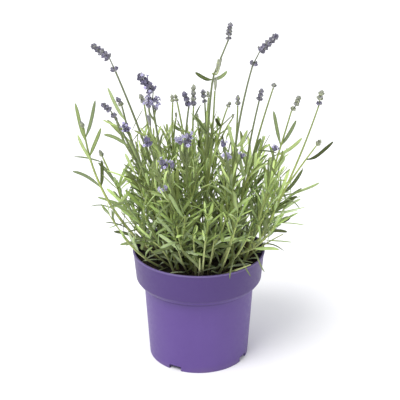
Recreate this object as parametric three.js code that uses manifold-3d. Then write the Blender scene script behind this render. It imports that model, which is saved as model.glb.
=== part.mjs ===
// A potted lavender: a tapered round nursery pot with a deep collar and four drain notches, the soil
// that fills it, and a plant of square-sectioned leafy stems that carry opposite pairs of narrow leaves
// and end in flower spikes.
// Millimetres, +Z up, origin on the pot's axis in the plane that the pot stands on; -Y is the front.
import * as THREE from "three";
import { mergeVertices } from "three/addons/utils/BufferGeometryUtils.js";
import Module from "manifold-3d";

const wasm = await Module();
wasm.setup();
const { Manifold } = wasm;

// ---- Pot ----
const ROUND_SIDES = 32;
const POT_HEIGHT = 112.5;
const WALL = 1.4;
const FOOT_RADIUS = 50; // the tapered wall at the foot
const WAIST = { radius: 54.5, z: 77.6 }; // where the wall meets the collar's shoulder
const COLLAR_BOTTOM = { radius: 62.2, z: 84.6 };
const COLLAR_TOP = { radius: 64.5, z: 110.6 };
const LIP_RADIUS = 65.1;
const FLOOR_Z = 4; // the floor's underside stands this far above the table
const CENTRE_FOOT_RADIUS = 9;
const FOOT_RING = 2.2; // the foot ring's width at its root
const SHOULDER = { out: 4.6, up: 1.8 }; // the flat part of the step under the collar
const CHAMFER = { out: 0.6, up: 2.6 }; // the collar's lower edge
const NOTCH = { count: 4, first: -118, width: 13, height: 5, innerRadius: 43 }; // first in degrees from +X

// ---- Soil and what stands in it ----
const SOIL_Z = 101;
const SOIL_ROUGHNESS = 0.7;
const SOIL_RADIUS = 60;
const CLEARANCE = 0.35; // between pieces that fit in each other
const STEM_RADIUS = { foot: 1.5, neck: 0.75 };
const SHOOT_RADIUS = { foot: 1.0, tip: 0.6 };
const STEM_STEPS = 6;
const ROOT_SHARE = 0.045; // of a stem's curve, carried on below the soil
const SHOOT_STEPS = 3;

// ---- Leaves ----
const LEAF_HALF_WIDTH = 1.75;
const LEAF_KEEL = 0.95; // depth of the rib under the blade
const LEAF_STATIONS = [0, 0.48, 1]; // shares of the leaf's length
const LEAF_SHARES = [0.24, 1, 0]; // of the half width, at those stations
const LEAF_ROD_RADII = [1.4, LEAF_HALF_WIDTH, 1.4]; // a leaf is kept clear as three rods from root to tip
const ROOT_OFFSET = 0.3; // of the stem's radius: a leaf starts this far from the stem's axis
const LEAF_HABIT = {
  pitch: [26, 46], // degrees from the stem
  length: [27, 37],
  curl: [-0.2, 0.1], // shares of the length
  droop: [0, 0.1],
  roll: [-0.5, 0.5], // radians
};
const LOW_LEAVES = { below: 70, pitch: 26, shorter: 5, droop: 0.16 }; // what changes towards the soil
const AZIMUTH_JITTER = 0.2;

// ---- Keeping clear ----
const GAP = 0.45; // least air between two nodes
const HEAD_MARGIN = 0.6; // more than a spike's own radius
const LEAF_TRIES = 9;
const LEAF_TRY = { azimuth: 11, pitch: 0.05, length: 0.045 }; // how much each further try changes
const LEADING_TRY = { lower: 0.008, depth: 3 };
const STEM_TRIES = 40;
const STEM_TRY = { angle: 2.4, bow: 1.6 };
const SHOOT_TRIES = 12;
const SHOOT_TRY = 14; // degrees

// ---- Stems ----
// base: where the stem leaves the soil. through: a point half way up. neck: where its flowers begin.
// spike: where the dense part of the spike begins, if a whorl stands apart below it.
// knee: where a stem turns, if it does. leafy: the share of the stem with leaves.
const STEMS = [
  { name: "tall_left", base: [-16, -14], through: [-43, -13, 201], neck: [-75, -12, 292],
    spike: [-80, -12, 304], tip: [-96, -12, 317], whorls: 5, radius: 4.3, leafy: 0.48 },
  { name: "left_spike", base: [-27, -17], through: [-62, -27, 223], neck: [-75, -30, 254],
    spike: [-79, -31, 261], tip: [-87, -32, 268], whorls: 3, radius: 3.2, leafy: 0.7 },
  { name: "left_bud", base: [-30, 6], through: [-62, 7, 211], neck: [-72, 8, 254],
    tip: [-77, 10, 263], whorls: 2, radius: 2.9, leafy: 0.85 },
  { name: "pale_bud", base: [-20, 12], through: [-45, 28, 204], neck: [-53, 35, 250],
    tip: [-57, 36, 259], whorls: 2, radius: 2.9, leafy: 0.62 },
  { name: "big_bloom", base: [-9, -24], through: [-35, -32, 224], neck: [-41, -36, 270],
    spike: [-40, -38, 280], tip: [-53, -40, 297], whorls: 4, radius: 5.4, leafy: 0.8 },
  { name: "low_left_bloom", base: [-20, -26], through: [-52, -41, 213], neck: [-63, -46, 246],
    tip: [-66, -48, 255], whorls: 2, radius: 3.8, leafy: 0.75 },
  { name: "thin_bud_a", base: [-10, 22], through: [-26, 49, 198], neck: [-26, 60, 244],
    tip: [-27, 61, 252], whorls: 2, radius: 2.3, leafy: 0.6 },
  { name: "thin_bud_b", base: [-3, 28], through: [-13, 61, 194], neck: [-22, 76, 240],
    tip: [-24, 77, 248], whorls: 2, radius: 2.2, leafy: 0.6 },
  { name: "middle_spike", base: [-2, -14], through: [-13, -11, 217], neck: [-9, -10, 259],
    tip: [-14, -12, 274], whorls: 3, radius: 3.3, leafy: 0.7 },
  { name: "green_spike", base: [2, 8], through: [-6, 24, 206], neck: [-5, 30, 248],
    tip: [-5, 31, 270], whorls: 4, radius: 3.1, leafy: 0.72 },
  { name: "middle_bud", base: [8, 16], through: [8, 40, 201], neck: [6, 50, 246],
    spike: [5, 50, 251], tip: [4, 50, 260], whorls: 2, radius: 2.9, leafy: 0.68 },
  { name: "far_bud", base: [10, 34], through: [7, 69, 191], neck: [10, 86, 242],
    tip: [9, 87, 249], whorls: 2, radius: 2.0, leafy: 0.66 },
  { name: "top_spike", base: [14, -2], through: [8, -1, 214], knee: [13, 0, 284], neck: [27, 2, 318],
    spike: [27, 2, 322], tip: [29, 2, 334], whorls: 4, radius: 3.1, leafy: 0.62 },
  { name: "tall_right", base: [34, -14], through: [36, -18, 239], neck: [48, -20, 299],
    spike: [54, -21, 312], tip: [70, -22, 328], whorls: 5, radius: 4.3, leafy: 0.58 },
  { name: "small_bud", base: [18, 26], through: [18, 59, 200], neck: [29, 70, 236],
    tip: [32, 71, 242], whorls: 2, radius: 2.3, leafy: 0.6 },
  { name: "right_bud_a", base: [22, 12], through: [36, 32, 203], neck: [38, 40, 246],
    tip: [38, 40, 257], whorls: 2, radius: 2.6, leafy: 0.66 },
  { name: "right_spike", base: [39, -7], through: [48, -14, 228], neck: [55, -16, 266],
    tip: [57, -18, 278], whorls: 3, radius: 2.9, leafy: 0.72 },
  { name: "right_bud_b", base: [33, 8], through: [55, 19, 212], neck: [71, 25, 268],
    tip: [72, 25, 273], whorls: 1, radius: 2.7, leafy: 0.6 },
  { name: "right_head", base: [44, 3], through: [79, 12, 215], neck: [88, 15, 248],
    spike: [92, 15, 253], tip: [95, 15, 263], whorls: 3, radius: 3.1, leafy: 0.66 },
  { name: "far_right_head", base: [47, -6], through: [91, -15, 204], neck: [109, -20, 263],
    spike: [109, -21, 268], tip: [111, -22, 278], whorls: 2, radius: 3.2, leafy: 0.4 },
  { name: "right_low_bud", base: [46, 12], through: [98, 27, 184], neck: [115, 30, 208],
    tip: [120, 30, 215], whorls: 1, radius: 2.6, leafy: 0.55 },
  { name: "left_branch", base: [-38, -4], through: [-96, -5, 185], neck: [-107, -6, 237],
    tip: [-110, -8, 245], whorls: 1, radius: 1.9, leafy: 0.14 },
  { name: "left_low_bud", base: [-37, 10], through: [-83, 21, 174], neck: [-94, 25, 198],
    tip: [-97, 25, 206], whorls: 1, radius: 2.1, leafy: 0.66 },
  { name: "near_bloom_a", base: [-4, -32], through: [-35, -53, 208], neck: [-43, -60, 237],
    tip: [-46, -62, 246], whorls: 2, radius: 3.8, leafy: 0.8 },
  { name: "near_bloom_b", base: [6, -26], through: [-24, -58, 195], neck: [-29, -68, 219],
    tip: [-33, -70, 228], whorls: 2, radius: 3.8, leafy: 0.85 },
  { name: "near_bloom_c", base: [12, -20], through: [-11, -47, 210], neck: [-10, -54, 234],
    tip: [-8, -56, 247], whorls: 3, radius: 3.4, leafy: 0.8 },
  { name: "near_bloom_d", base: [30, -22], through: [26, -54, 217], neck: [22, -60, 236],
    tip: [21, -61, 242], whorls: 1, radius: 2.3, leafy: 0.85 },
  { name: "right_near", base: [42, -18], through: [64, -40, 198], neck: [67, -46, 228],
    tip: [69, -48, 234], whorls: 1, radius: 2.3, leafy: 0.85 },
];
// The leaves that stand out from the rest: the stem and the share of its path that each leaf leaves,
// its tip, and how far it arches up over the straight line between them. A broad one turns its upper
// face to the front.
const LEADING_LEAVES = [
  { stem: "left_branch", at: 0.97, tip: [-116, -7, 258], arch: -2, broad: true },
  { stem: "left_branch", at: 0.98, tip: [-96, -5, 261], arch: -2, broad: true },
  { stem: "left_branch", at: 0.81, tip: [-112, -8, 233], arch: -1, broad: true },
  { stem: "left_branch", at: 0.82, tip: [-92, -2, 236], arch: -2, broad: true },
  { stem: "left_branch", at: 0.6, tip: [-119, -10, 196], arch: 3, broad: true },
  { stem: "left_branch", at: 0.61, tip: [-92, 2, 203], arch: -2, broad: true },
  { stem: "left_branch", at: 0.44, tip: [-104, -8, 160], arch: 3, broad: false },
  { stem: "left_branch", at: 0.45, tip: [-66, 3, 172], arch: -2, broad: true },
  { stem: "left_branch", at: 0.28, tip: [-90, -14, 146], arch: 2, broad: false },
  { stem: "left_branch", at: 0.17, tip: [-84, 6, 127], arch: 3, broad: true },
  { stem: "left_low_bud", at: 0.94, tip: [-122, 24, 199], arch: 2, broad: false },
  { stem: "left_low_bud", at: 0.72, tip: [-97, 18, 196], arch: 2, broad: true },
  { stem: "left_low_bud", at: 0.7, tip: [-64, 21, 190], arch: -2, broad: true },
  { stem: "left_spike", at: 0.8, tip: [-86, -30, 238], arch: 3, broad: true },
  { stem: "left_spike", at: 0.45, tip: [-84, -34, 170], arch: 3, broad: false },
  { stem: "left_bud", at: 0.95, tip: [-86, 7, 270], arch: -2, broad: true },
  { stem: "top_spike", at: 0.815, tip: [-3, -2, 289], arch: -2, broad: true },
  { stem: "top_spike", at: 0.82, tip: [26, 4, 289], arch: -3, broad: true },
  { stem: "thin_bud_b", at: 0.8, tip: [-27, 66, 219], arch: -1, broad: true },
  { stem: "green_spike", at: 0.94, tip: [8, 26, 224], arch: 1, broad: true },
  { stem: "green_spike", at: 0.93, tip: [2, 28, 252], arch: 1, broad: false },
  { stem: "small_bud", at: 0.85, tip: [17, 62, 227], arch: 0, broad: true },
  { stem: "right_bud_b", at: 0.6, tip: [59, 18, 223], arch: 1, broad: true },
  { stem: "tall_right", at: 0.62, tip: [27, -19, 246], arch: -4, broad: true },
  { stem: "tall_right", at: 0.61, tip: [45, -15, 238], arch: -4, broad: true },
  { stem: "right_head", at: 0.77, tip: [70, 10, 249], arch: 1, broad: true },
  { stem: "right_head", at: 0.78, tip: [93, 14, 238], arch: -2, broad: true },
  { stem: "right_head", at: 0.72, tip: [57, 8, 211], arch: 1, broad: false },
  { stem: "right_head", at: 0.71, tip: [99, 16, 221], arch: -3, broad: true },
  { stem: "right_low_bud", at: 0.87, tip: [131, 27, 214], arch: -4, broad: true },
  { stem: "right_low_bud", at: 0.6, tip: [101, 22, 190], arch: -2, broad: false },
  { stem: "right_low_bud", at: 0.38, tip: [96, 18, 163], arch: 3, broad: true },
  { stem: "far_right_head", at: 0.48, tip: [97, -16, 201], arch: -3, broad: true },
  { stem: "far_right_head", at: 0.43, tip: [97, -14, 158], arch: 4, broad: false },
  { stem: "far_right_head", at: 0.28, tip: [88, -12, 150], arch: -3, broad: true },
  { stem: "far_right_head", at: 0.19, tip: [86, -8, 133], arch: 2, broad: true },
  { stem: "far_right_head", at: 0.11, tip: [83, -12, 114], arch: 5, broad: false },
  { stem: "near_bloom_d", at: 0.19, tip: [29, -73, 107], arch: 6, broad: false },
  { stem: "near_bloom_d", at: 0.13, tip: [47, -58, 104], arch: 7, broad: false },
  { stem: "right_near", at: 0.17, tip: [60, -53, 105], arch: 7, broad: false },
  { stem: "near_bloom_b", at: 0.7, tip: [-37, -97, 184], arch: 2, broad: false },
  { stem: "near_bloom_d", at: 0.66, tip: [34, -96, 190], arch: 2, broad: false },
];
const FIRST_PAIR = 9; // mm of stem above the soil before the first pair of leaves
const PAIR_SPACING = { first: 21, growth: 0.16 }; // mm, and the share of the height that adds to it
const SHOOT = { from: [0.07, 0.16], turn: [0.3, 1.5], reach: [26, 44], rise: [36, 66] };
const SHOOT_LEAVES_AT = [0.42, 0.69, 0.96]; // shares of the shoot's length

// ---- Helpers ----
const vec = (x, y, z) => new THREE.Vector3(x, y, z);
const turn = (degrees) => (degrees * Math.PI) / 180;
const shares = (steps, from = 0) =>
  Array.from({ length: steps + 1 }, (_, k) => from + ((1 - from) * k) / steps);

// A seeded generator, so that every run places every leaf alike.
const MULTIPLIER = 16807;
const MODULUS = 2147483647;
function seeded(seed) {
  let state = seed;
  return ([low, high]) => {
    state = (state * MULTIPLIER) % MODULUS;
    return low + ((high - low) * state) / MODULUS;
  };
}

// A closed solid from a geometry, with shared vertices merged and collapsed triangles dropped.
function solidOf(geometry) {
  geometry.deleteAttribute("normal");
  geometry.deleteAttribute("uv");
  const merged = mergeVertices(geometry, 1e-4);
  const index = merged.index.array;
  const kept = [];
  for (let i = 0; i < index.length; i += 3) {
    const [a, b, c] = index.slice(i, i + 3);
    if (a !== b && b !== c && c !== a) kept.push(a, b, c);
  }
  return new Manifold(
    new wasm.Mesh({
      numProp: 3,
      vertProperties: merged.attributes.position.array,
      triVerts: new Uint32Array(kept),
    }),
  );
}

// A solid skinned over rings of equally many points, closed at both ends; a ring may shrink to one
// point.
function loft(rings) {
  const count = rings[0].length;
  const positions = rings.flat().flatMap((p) => [p.x, p.y, p.z]);
  const index = [];
  for (let r = 0; r + 1 < rings.length; r++) {
    for (let k = 0; k < count; k++) {
      const a = r * count + k;
      const b = r * count + ((k + 1) % count);
      index.push(a, b, b + count, a, b + count, a + count);
    }
  }
  const last = (rings.length - 1) * count;
  for (let k = 1; k + 1 < count; k++) {
    index.push(0, k + 1, k, last, last + k, last + k + 1);
  }
  const geometry = new THREE.BufferGeometry();
  geometry.setAttribute("position", new THREE.Float32BufferAttribute(positions, 3));
  geometry.setIndex(index);
  return solidOf(geometry);
}

// Two directions square to a tangent, turned about it.
const REFERENCE = vec(0.6, 0.8, 0);
function frameAt(tangent, twist = 0) {
  const side = REFERENCE.clone().cross(tangent).normalize();
  const front = tangent.clone().cross(side);
  const u = side.clone().multiplyScalar(Math.cos(twist)).addScaledVector(front, Math.sin(twist));
  return { u, v: tangent.clone().cross(u) };
}

// A curve from a to b that passes through a middle point, moved sideways by a bow that fades at both
// ends.
function curve(a, through, b, bow = vec(0, 0, 0)) {
  const first = a.distanceTo(through);
  const middle = first / (first + through.distanceTo(b));
  const control = through
    .clone()
    .addScaledVector(a, -((1 - middle) ** 2))
    .addScaledVector(b, -(middle ** 2))
    .divideScalar(2 * middle * (1 - middle));
  const at = (t) =>
    vec(0, 0, 0)
      .addScaledVector(a, (1 - t) * (1 - t))
      .addScaledVector(control, 2 * t * (1 - t))
      .addScaledVector(b, t * t)
      .addScaledVector(bow, Math.sin(Math.PI * t));
  const tangent = (t) => at(t + 0.01).sub(at(t - 0.01)).normalize();
  return { at, tangent };
}

function lengthOf(path, steps = 12) {
  let sum = 0;
  for (let k = 0; k < steps; k++) sum += path.at(k / steps).distanceTo(path.at((k + 1) / steps));
  return sum;
}

// A stalk follows a path in straight steps, has a square section turned by its twist, and thins out to
// its end.
const radiusAt = (stalk, t) => stalk.foot + (stalk.tip - stalk.foot) * Math.max(t, 0);

function centreAt(stalk, t) {
  const place = ((t - stalk.from) / (1 - stalk.from)) * stalk.steps;
  const step = Math.min(Math.floor(place), stalk.steps - 1);
  const corners = shares(stalk.steps, stalk.from);
  return stalk.path.at(corners[step]).lerp(stalk.path.at(corners[step + 1]), place - step);
}

// The solid of a stalk; grow widens it all over, for the hole that it stands in.
function tube(stalk, grow = 0) {
  const rings = shares(stalk.steps, stalk.from).map((t, k) => {
    const tangent = stalk.path.tangent(t);
    const { u, v } = frameAt(tangent, stalk.twist);
    const radius = radiusAt(stalk, t) + grow;
    const centre = stalk.path.at(t);
    if (k === 0) centre.addScaledVector(tangent, -grow);
    return [0, 1, 2, 3].map((corner) => {
      const angle = turn(45 + 90 * corner);
      return centre
        .clone()
        .addScaledVector(u, radius * Math.cos(angle))
        .addScaledVector(v, radius * Math.sin(angle));
    });
  });
  return loft(rings);
}

// ---- Keeping nodes clear of each other ----
const obstacles = []; // { node, kind, p, q, radius }: a round-ended rod in the way of other nodes

// The least distance between two straight lengths, p to q.
function distanceBetween(one, two) {
  const d1 = one.q.clone().sub(one.p);
  const d2 = two.q.clone().sub(two.p);
  const r = one.p.clone().sub(two.p);
  const a = d1.dot(d1);
  const e = d2.dot(d2);
  const b = d1.dot(d2);
  const c = d1.dot(r);
  const f = d2.dot(r);
  const clamp = (x) => Math.min(Math.max(x, 0), 1);
  const spread = a * e - b * b;
  let s = spread > 1e-9 ? clamp((b * f - c * e) / spread) : 0;
  let t = (b * s + f) / e;
  if (t < 0 || t > 1) {
    t = clamp(t);
    s = clamp((b * t - c) / a);
  }
  const nearOne = one.p.clone().addScaledVector(d1, s);
  const nearTwo = two.p.clone().addScaledVector(d2, t);
  return nearOne.distanceTo(nearTwo);
}

// Whether a point keeps some room to the pot's wall and to the soil.
function clearOfPot(point, room) {
  const radius = Math.hypot(point.x, point.y);
  const fromWall = Math.max(SOIL_RADIUS + 2 - radius, radius - LIP_RADIUS, 0);
  const overLip = Math.max(point.z - POT_HEIGHT, 0);
  const overSoil = radius > SOIL_RADIUS + 2 || point.z > SOIL_Z + 2 * SOIL_ROUGHNESS + room;
  return Math.hypot(fromWall, overLip) > room && overSoil;
}

function isClear(rods, ignores) {
  return rods.every((rod) =>
    obstacles.every((o) => ignores(o, rod) || distanceBetween(rod, o) > rod.radius + o.radius + GAP),
  );
}

const isAboveSoil = (rods) =>
  rods.every((rod) =>
    shares(4).every((s) => clearOfPot(rod.p.clone().lerp(rod.q, s), rod.radius + GAP)),
  );

// The first of several tries that stands clear, entered as an obstacle; null where none does.
function firstClear(tries, make, ignores) {
  for (let i = 0; i < tries; i++) {
    const made = make(i);
    if (isAboveSoil(made.rods.filter((rod) => rod.kind !== "stalk")) && isClear(made.rods, ignores)) {
      obstacles.push(...made.rods);
      return made;
    }
  }
  return null;
}

function rodsAlong(node, kind, points, radius) {
  return points.slice(1).map((q, k) => ({ node, kind, p: points[k], q, radius: radius(k) }));
}

// ---- Leaves ----
// One leaf of a pair: it leaves the stem at an angle, curls towards its upper face and droops by its
// weight.
function leafShape(stalk, t, { azimuth, pitch, length, curl, droop, roll }) {
  const tangent = stalk.path.tangent(t);
  const { u, v } = frameAt(tangent, stalk.twist);
  const out = u.multiplyScalar(Math.cos(azimuth)).addScaledVector(v, Math.sin(azimuth));
  const along = tangent.clone().multiplyScalar(Math.cos(pitch)).addScaledVector(out, Math.sin(pitch));
  const upper = tangent.clone().multiplyScalar(Math.sin(pitch)).addScaledVector(out, -Math.cos(pitch));
  const across = along.clone().cross(upper);
  const wide = across.clone().multiplyScalar(Math.cos(roll)).addScaledVector(upper, Math.sin(roll));
  const root = centreAt(stalk, t).addScaledVector(out, ROOT_OFFSET * radiusAt(stalk, t));
  const at = (s) =>
    root
      .clone()
      .addScaledVector(along, length * s)
      .addScaledVector(upper, length * curl * s * s)
      .add(vec(0, 0, -length * droop * s * s));
  return { at, wide };
}

// A leaf that reaches for a given tip.
function leadingShape(stalk, { at: t, tip, arch, broad }) {
  const root = centreAt(stalk, t);
  const along = vec(...tip).sub(root);
  root.addScaledVector(along.clone().normalize(), ROOT_OFFSET * radiusAt(stalk, t));
  const upper = broad ? vec(0, -1, 0) : vec(0, 0, 1);
  const wide = along.clone().cross(upper).normalize();
  const lift = wide.clone().cross(along).normalize();
  const rise = broad ? vec(0, 0, 1) : lift;
  const at = (s) => root.clone().lerp(vec(...tip), s).addScaledVector(rise, 4 * arch * s * (1 - s));
  return { at, wide };
}

// A leaf's solid: flat above, keeled below, widest half way along. Its sections are all alike and
// parallel.
function blade(leaf) {
  const corners = LEAF_STATIONS.map(leaf.at);
  const under = corners[1].clone().sub(corners[0]).cross(leaf.wide).normalize();
  const section = (centre, share) => [
    centre.clone().addScaledVector(leaf.wide, LEAF_HALF_WIDTH * share),
    centre.clone().addScaledVector(under, LEAF_KEEL * share),
    centre.clone().addScaledVector(leaf.wide, -LEAF_HALF_WIDTH * share),
  ];
  return loft(corners.map((centre, k) => section(centre, LEAF_SHARES[k])));
}

// The variations of a leaf that are tried in turn until one is clear.
function leafTry(want, i) {
  const side = i % 2 ? 1 : -1;
  return {
    ...want,
    azimuth: want.azimuth + side * turn(LEAF_TRY.azimuth) * Math.ceil(i / 2),
    pitch: want.pitch * (1 - LEAF_TRY.pitch * i),
    length: want.length * (1 - LEAF_TRY.length * i),
  };
}

// Adds the first of several tries of a leaf that stands clear, if there is one.
function addLeaf(solids, node, tries, shapeOf) {
  const placed = firstClear(
    tries,
    (i) => {
      const leaf = shapeOf(i);
      const [root, middle, tip] = LEAF_STATIONS.map(leaf.at);
      const points = [root.clone().lerp(middle, 0.25), root.clone().lerp(middle, 0.75), middle, tip];
      const rods = rodsAlong(node, "leaf", points, (k) => LEAF_ROD_RADII[k]);
      rods[0].kind = "root";
      return { leaf, rods };
    },
    (o, rod) => o.node === node && (o.kind === "root" || rod.kind === "root"),
  );
  if (placed) solids.push(blade(placed.leaf));
  return placed !== null;
}

// Opposite pairs, each square to the one below, over part of a path.
function addPairs(solids, node, stalk, shareList, random) {
  shareList.forEach((t, k) => {
    const height = stalk.path.at(t).z - SOIL_Z;
    const low = Math.max(0, 1 - height / LOW_LEAVES.below); // 1 at the soil
    for (const side of [0, 1]) {
      const want = {
        azimuth: (k * Math.PI) / 2 + side * Math.PI + random([-AZIMUTH_JITTER, AZIMUTH_JITTER]),
        pitch: turn(random(LEAF_HABIT.pitch) + LOW_LEAVES.pitch * low),
        length: random(LEAF_HABIT.length) - LOW_LEAVES.shorter * low,
        curl: random(LEAF_HABIT.curl) * (1 - low),
        droop: random(LEAF_HABIT.droop) + LOW_LEAVES.droop * low,
        roll: random(LEAF_HABIT.roll),
      };
      addLeaf(solids, node, LEAF_TRIES, (i) => leafShape(stalk, t, leafTry(want, i)));
    }
  });
}

// ---- Flower spikes ----
// Whorls of six calyces along an axis of two or three points, each turned half a step from the last.
const CALYCES = 6;
const CORE_SHARE = 0.36; // of the whorl's radius, at its foot
const VALLEY_SHARE = 0.55; // of the whorl's radius, between two calyces
const TIP_TAPER = 0.3;
function spikeSolid(row, below) {
  const { whorls, radius } = row;
  const neck = vec(...row.neck).addScaledVector(below, CLEARANCE);
  const spike = row.spike ? vec(...row.spike) : null;
  const tip = vec(...row.tip);
  const core = radius * CORE_SHARE;
  const rings = [];
  const ring = (centre, axis, phase, teeth, valleys, lean) => {
    const { u, v } = frameAt(axis);
    rings.push(
      Array.from({ length: 2 * CALYCES }, (_, k) => {
        const isTooth = (k + phase) % 2 === 0;
        const even = valleys === null && !isTooth;
        const step = even ? k + 1 : k; // a plain ring of six doubles each point
        const angle = (step * Math.PI) / CALYCES;
        const reach = valleys === null || isTooth ? teeth : valleys;
        const rise = isTooth && valleys !== null ? lean : 0;
        return centre
          .clone()
          .addScaledVector(u, reach * Math.cos(angle))
          .addScaledVector(v, reach * Math.sin(angle))
          .addScaledVector(axis, rise);
      }),
    );
  };
  const whorl = (centre, axis, phase, size, pitch) => {
    ring(centre, rings.length ? axis : below, phase, core, null, 0);
    const widest = centre.clone().addScaledVector(axis, pitch * 0.42);
    ring(widest, axis, phase, size, size * VALLEY_SHARE, pitch * 0.36);
  };
  const start = spike ?? neck;
  const axis = tip.clone().sub(start).normalize();
  const pitch = start.distanceTo(tip) / (whorls + 0.35);
  if (spike) {
    const lower = spike.clone().sub(neck);
    const stretch = lower.length();
    lower.normalize();
    whorl(neck, lower, 0, radius * 0.85, Math.min(4, stretch * 0.6));
    const above = neck.clone().addScaledVector(lower, Math.min(4.2, stretch * 0.75));
    ring(above, lower, 1, STEM_RADIUS.neck, null, 0);
  }
  for (let w = 0; w < whorls; w++) {
    const taper = 1 - (TIP_TAPER * w) / Math.max(whorls, 2);
    const base = start.clone().addScaledVector(axis, pitch * w);
    whorl(base, axis, (w + (spike ? 1 : 0)) % 2, radius * taper, pitch);
  }
  rings.push(rings[0].map(() => tip.clone()));
  return loft(rings);
}

// ---- Pot and soil ----
function turned(points) {
  const outline = points.map(([radius, z]) => new THREE.Vector2(radius, z));
  const geometry = new THREE.LatheGeometry(outline, ROUND_SIDES);
  geometry.rotateX(Math.PI / 2);
  return geometry;
}

function potSolid() {
  const inner = (spot) => spot.radius - WALL;
  const shell = solidOf(
    turned([
      [0, 0],
      [CENTRE_FOOT_RADIUS - 1, 0],
      [CENTRE_FOOT_RADIUS, FLOOR_Z],
      [FOOT_RADIUS - FOOT_RING, FLOOR_Z],
      [FOOT_RADIUS - FOOT_RING + 0.4, 0],
      [FOOT_RADIUS, 0],
      [WAIST.radius, WAIST.z],
      [WAIST.radius + SHOULDER.out, WAIST.z + SHOULDER.up],
      [COLLAR_BOTTOM.radius - CHAMFER.out, COLLAR_BOTTOM.z - CHAMFER.up],
      [COLLAR_BOTTOM.radius, COLLAR_BOTTOM.z],
      [COLLAR_TOP.radius, COLLAR_TOP.z],
      [LIP_RADIUS, COLLAR_TOP.z + 0.5],
      [LIP_RADIUS, POT_HEIGHT],
      [inner(COLLAR_TOP), POT_HEIGHT],
      [inner(COLLAR_BOTTOM), COLLAR_BOTTOM.z],
      [inner(WAIST) + SHOULDER.out - 1, WAIST.z + SHOULDER.up * 2],
      [inner(WAIST), WAIST.z],
      [FOOT_RADIUS - WALL, FLOOR_Z + WALL],
      [0, FLOOR_Z + WALL],
    ]),
  );
  const notches = Array.from({ length: NOTCH.count }, (_, k) => {
    const reach = FOOT_RADIUS + 4 - NOTCH.innerRadius;
    const box = new THREE.BoxGeometry(reach, NOTCH.width, NOTCH.height * 2);
    box.translate(NOTCH.innerRadius + reach / 2, 0, 0);
    box.rotateZ(turn(NOTCH.first + (360 / NOTCH.count) * k));
    return solidOf(box);
  });
  return notches.reduce((pot, notch) => pot.subtract(notch), shell);
}

function soilHeight(x, y) {
  const lumps = Math.sin(x * 0.21 + 1) * Math.cos(y * 0.17) + 0.6 * Math.sin(x * 0.09 - y * 0.13);
  return SOIL_Z + SOIL_ROUGHNESS * lumps;
}

function soilBody() {
  const floor = FLOOR_Z + WALL + CLEARANCE;
  const fit = WALL + CLEARANCE;
  const geometry = turned([
    [0, floor],
    [FOOT_RADIUS - fit - 0.2, floor],
    [WAIST.radius - fit, WAIST.z],
    [WAIST.radius - fit + SHOULDER.out - 1.2, WAIST.z + SHOULDER.up * 2 + 0.6],
    [COLLAR_BOTTOM.radius - fit - 0.3, COLLAR_BOTTOM.z + 0.6],
    [COLLAR_BOTTOM.radius - fit + 0.9, SOIL_Z - 2.4],
    [SOIL_RADIUS - 1, SOIL_Z - 0.6],
    [SOIL_RADIUS - 26, SOIL_Z],
    [0, SOIL_Z],
  ]);
  const position = geometry.attributes.position;
  for (let i = 0; i < position.count; i++) {
    if (position.getZ(i) > SOIL_Z - 0.5) position.setZ(i, soilHeight(position.getX(i), position.getY(i)));
  }
  return solidOf(geometry);
}

// ---- The plant ----
// First come the stalks and spikes, then the side shoots, then the leaves, so that leaves give way.
function stalkTry(row, i) {
  const angle = STEM_TRY.angle * i;
  const amount = STEM_TRY.bow * Math.sqrt(i);
  const bow = vec(amount * Math.cos(angle), amount * Math.sin(angle), 0);
  const end = vec(...(row.knee ?? row.neck));
  const path = curve(vec(row.base[0], row.base[1], SOIL_Z), vec(...row.through), end, bow);
  return row.knee ? bent(path, vec(...row.neck)) : path;
}

// A path that turns at its end and runs straight on. It turns at the last corner but one of the stalk.
const KNEE_AT = shares(STEM_STEPS, -ROOT_SHARE)[STEM_STEPS - 1];
function bent(path, end) {
  const knee = path.at(1);
  const at = (t) =>
    t < KNEE_AT ? path.at(t / KNEE_AT) : knee.clone().lerp(end, (t - KNEE_AT) / (1 - KNEE_AT));
  const tangent = (t) => at(t + 0.01).sub(at(t - 0.01)).normalize();
  return { at, tangent };
}

function placeStalk(row, node) {
  const neck = vec(...row.neck);
  const tip = vec(...row.tip);
  const spike = row.spike ? vec(...row.spike) : null;
  const headPoints = spike ? [neck, spike, tip] : [neck, tip];
  const headNode = node + STEMS.length;
  const head = rodsAlong(headNode, "head", headPoints, () => row.radius + HEAD_MARGIN);
  const placed = firstClear(
    STEM_TRIES,
    (i) => {
      const path = stalkTry(row, i);
      const points = shares(STEM_STEPS, -ROOT_SHARE).map(path.at);
      const { foot, neck: thin } = STEM_RADIUS;
      const radius = (k) => foot - ((foot - thin) * k) / STEM_STEPS;
      return { path, rods: rodsAlong(node, "stalk", points, radius) };
    },
    () => false,
  );
  if (!placed) throw new Error(row.name + " finds no clear way up");
  if (!isClear(head, (o) => o.node === node)) throw new Error(row.name + "'s spike meets another stem");
  obstacles.push(...head);
  return placed.path;
}

// A side shoot leaves its stem low down, runs outwards and turns up.
function shootTry(path, want, i) {
  const start = path.at(want.from);
  const azimuth = want.azimuth + (i % 2 ? 1 : -1) * turn(SHOOT_TRY) * Math.ceil(i / 2);
  const out = vec(Math.cos(azimuth), Math.sin(azimuth), 0);
  const end = start.clone().addScaledVector(out, want.reach).add(vec(0, 0, want.rise));
  const through = start.clone().addScaledVector(out, want.reach * 0.6).add(vec(0, 0, want.rise * 0.4));
  return curve(start, through, end);
}

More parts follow.
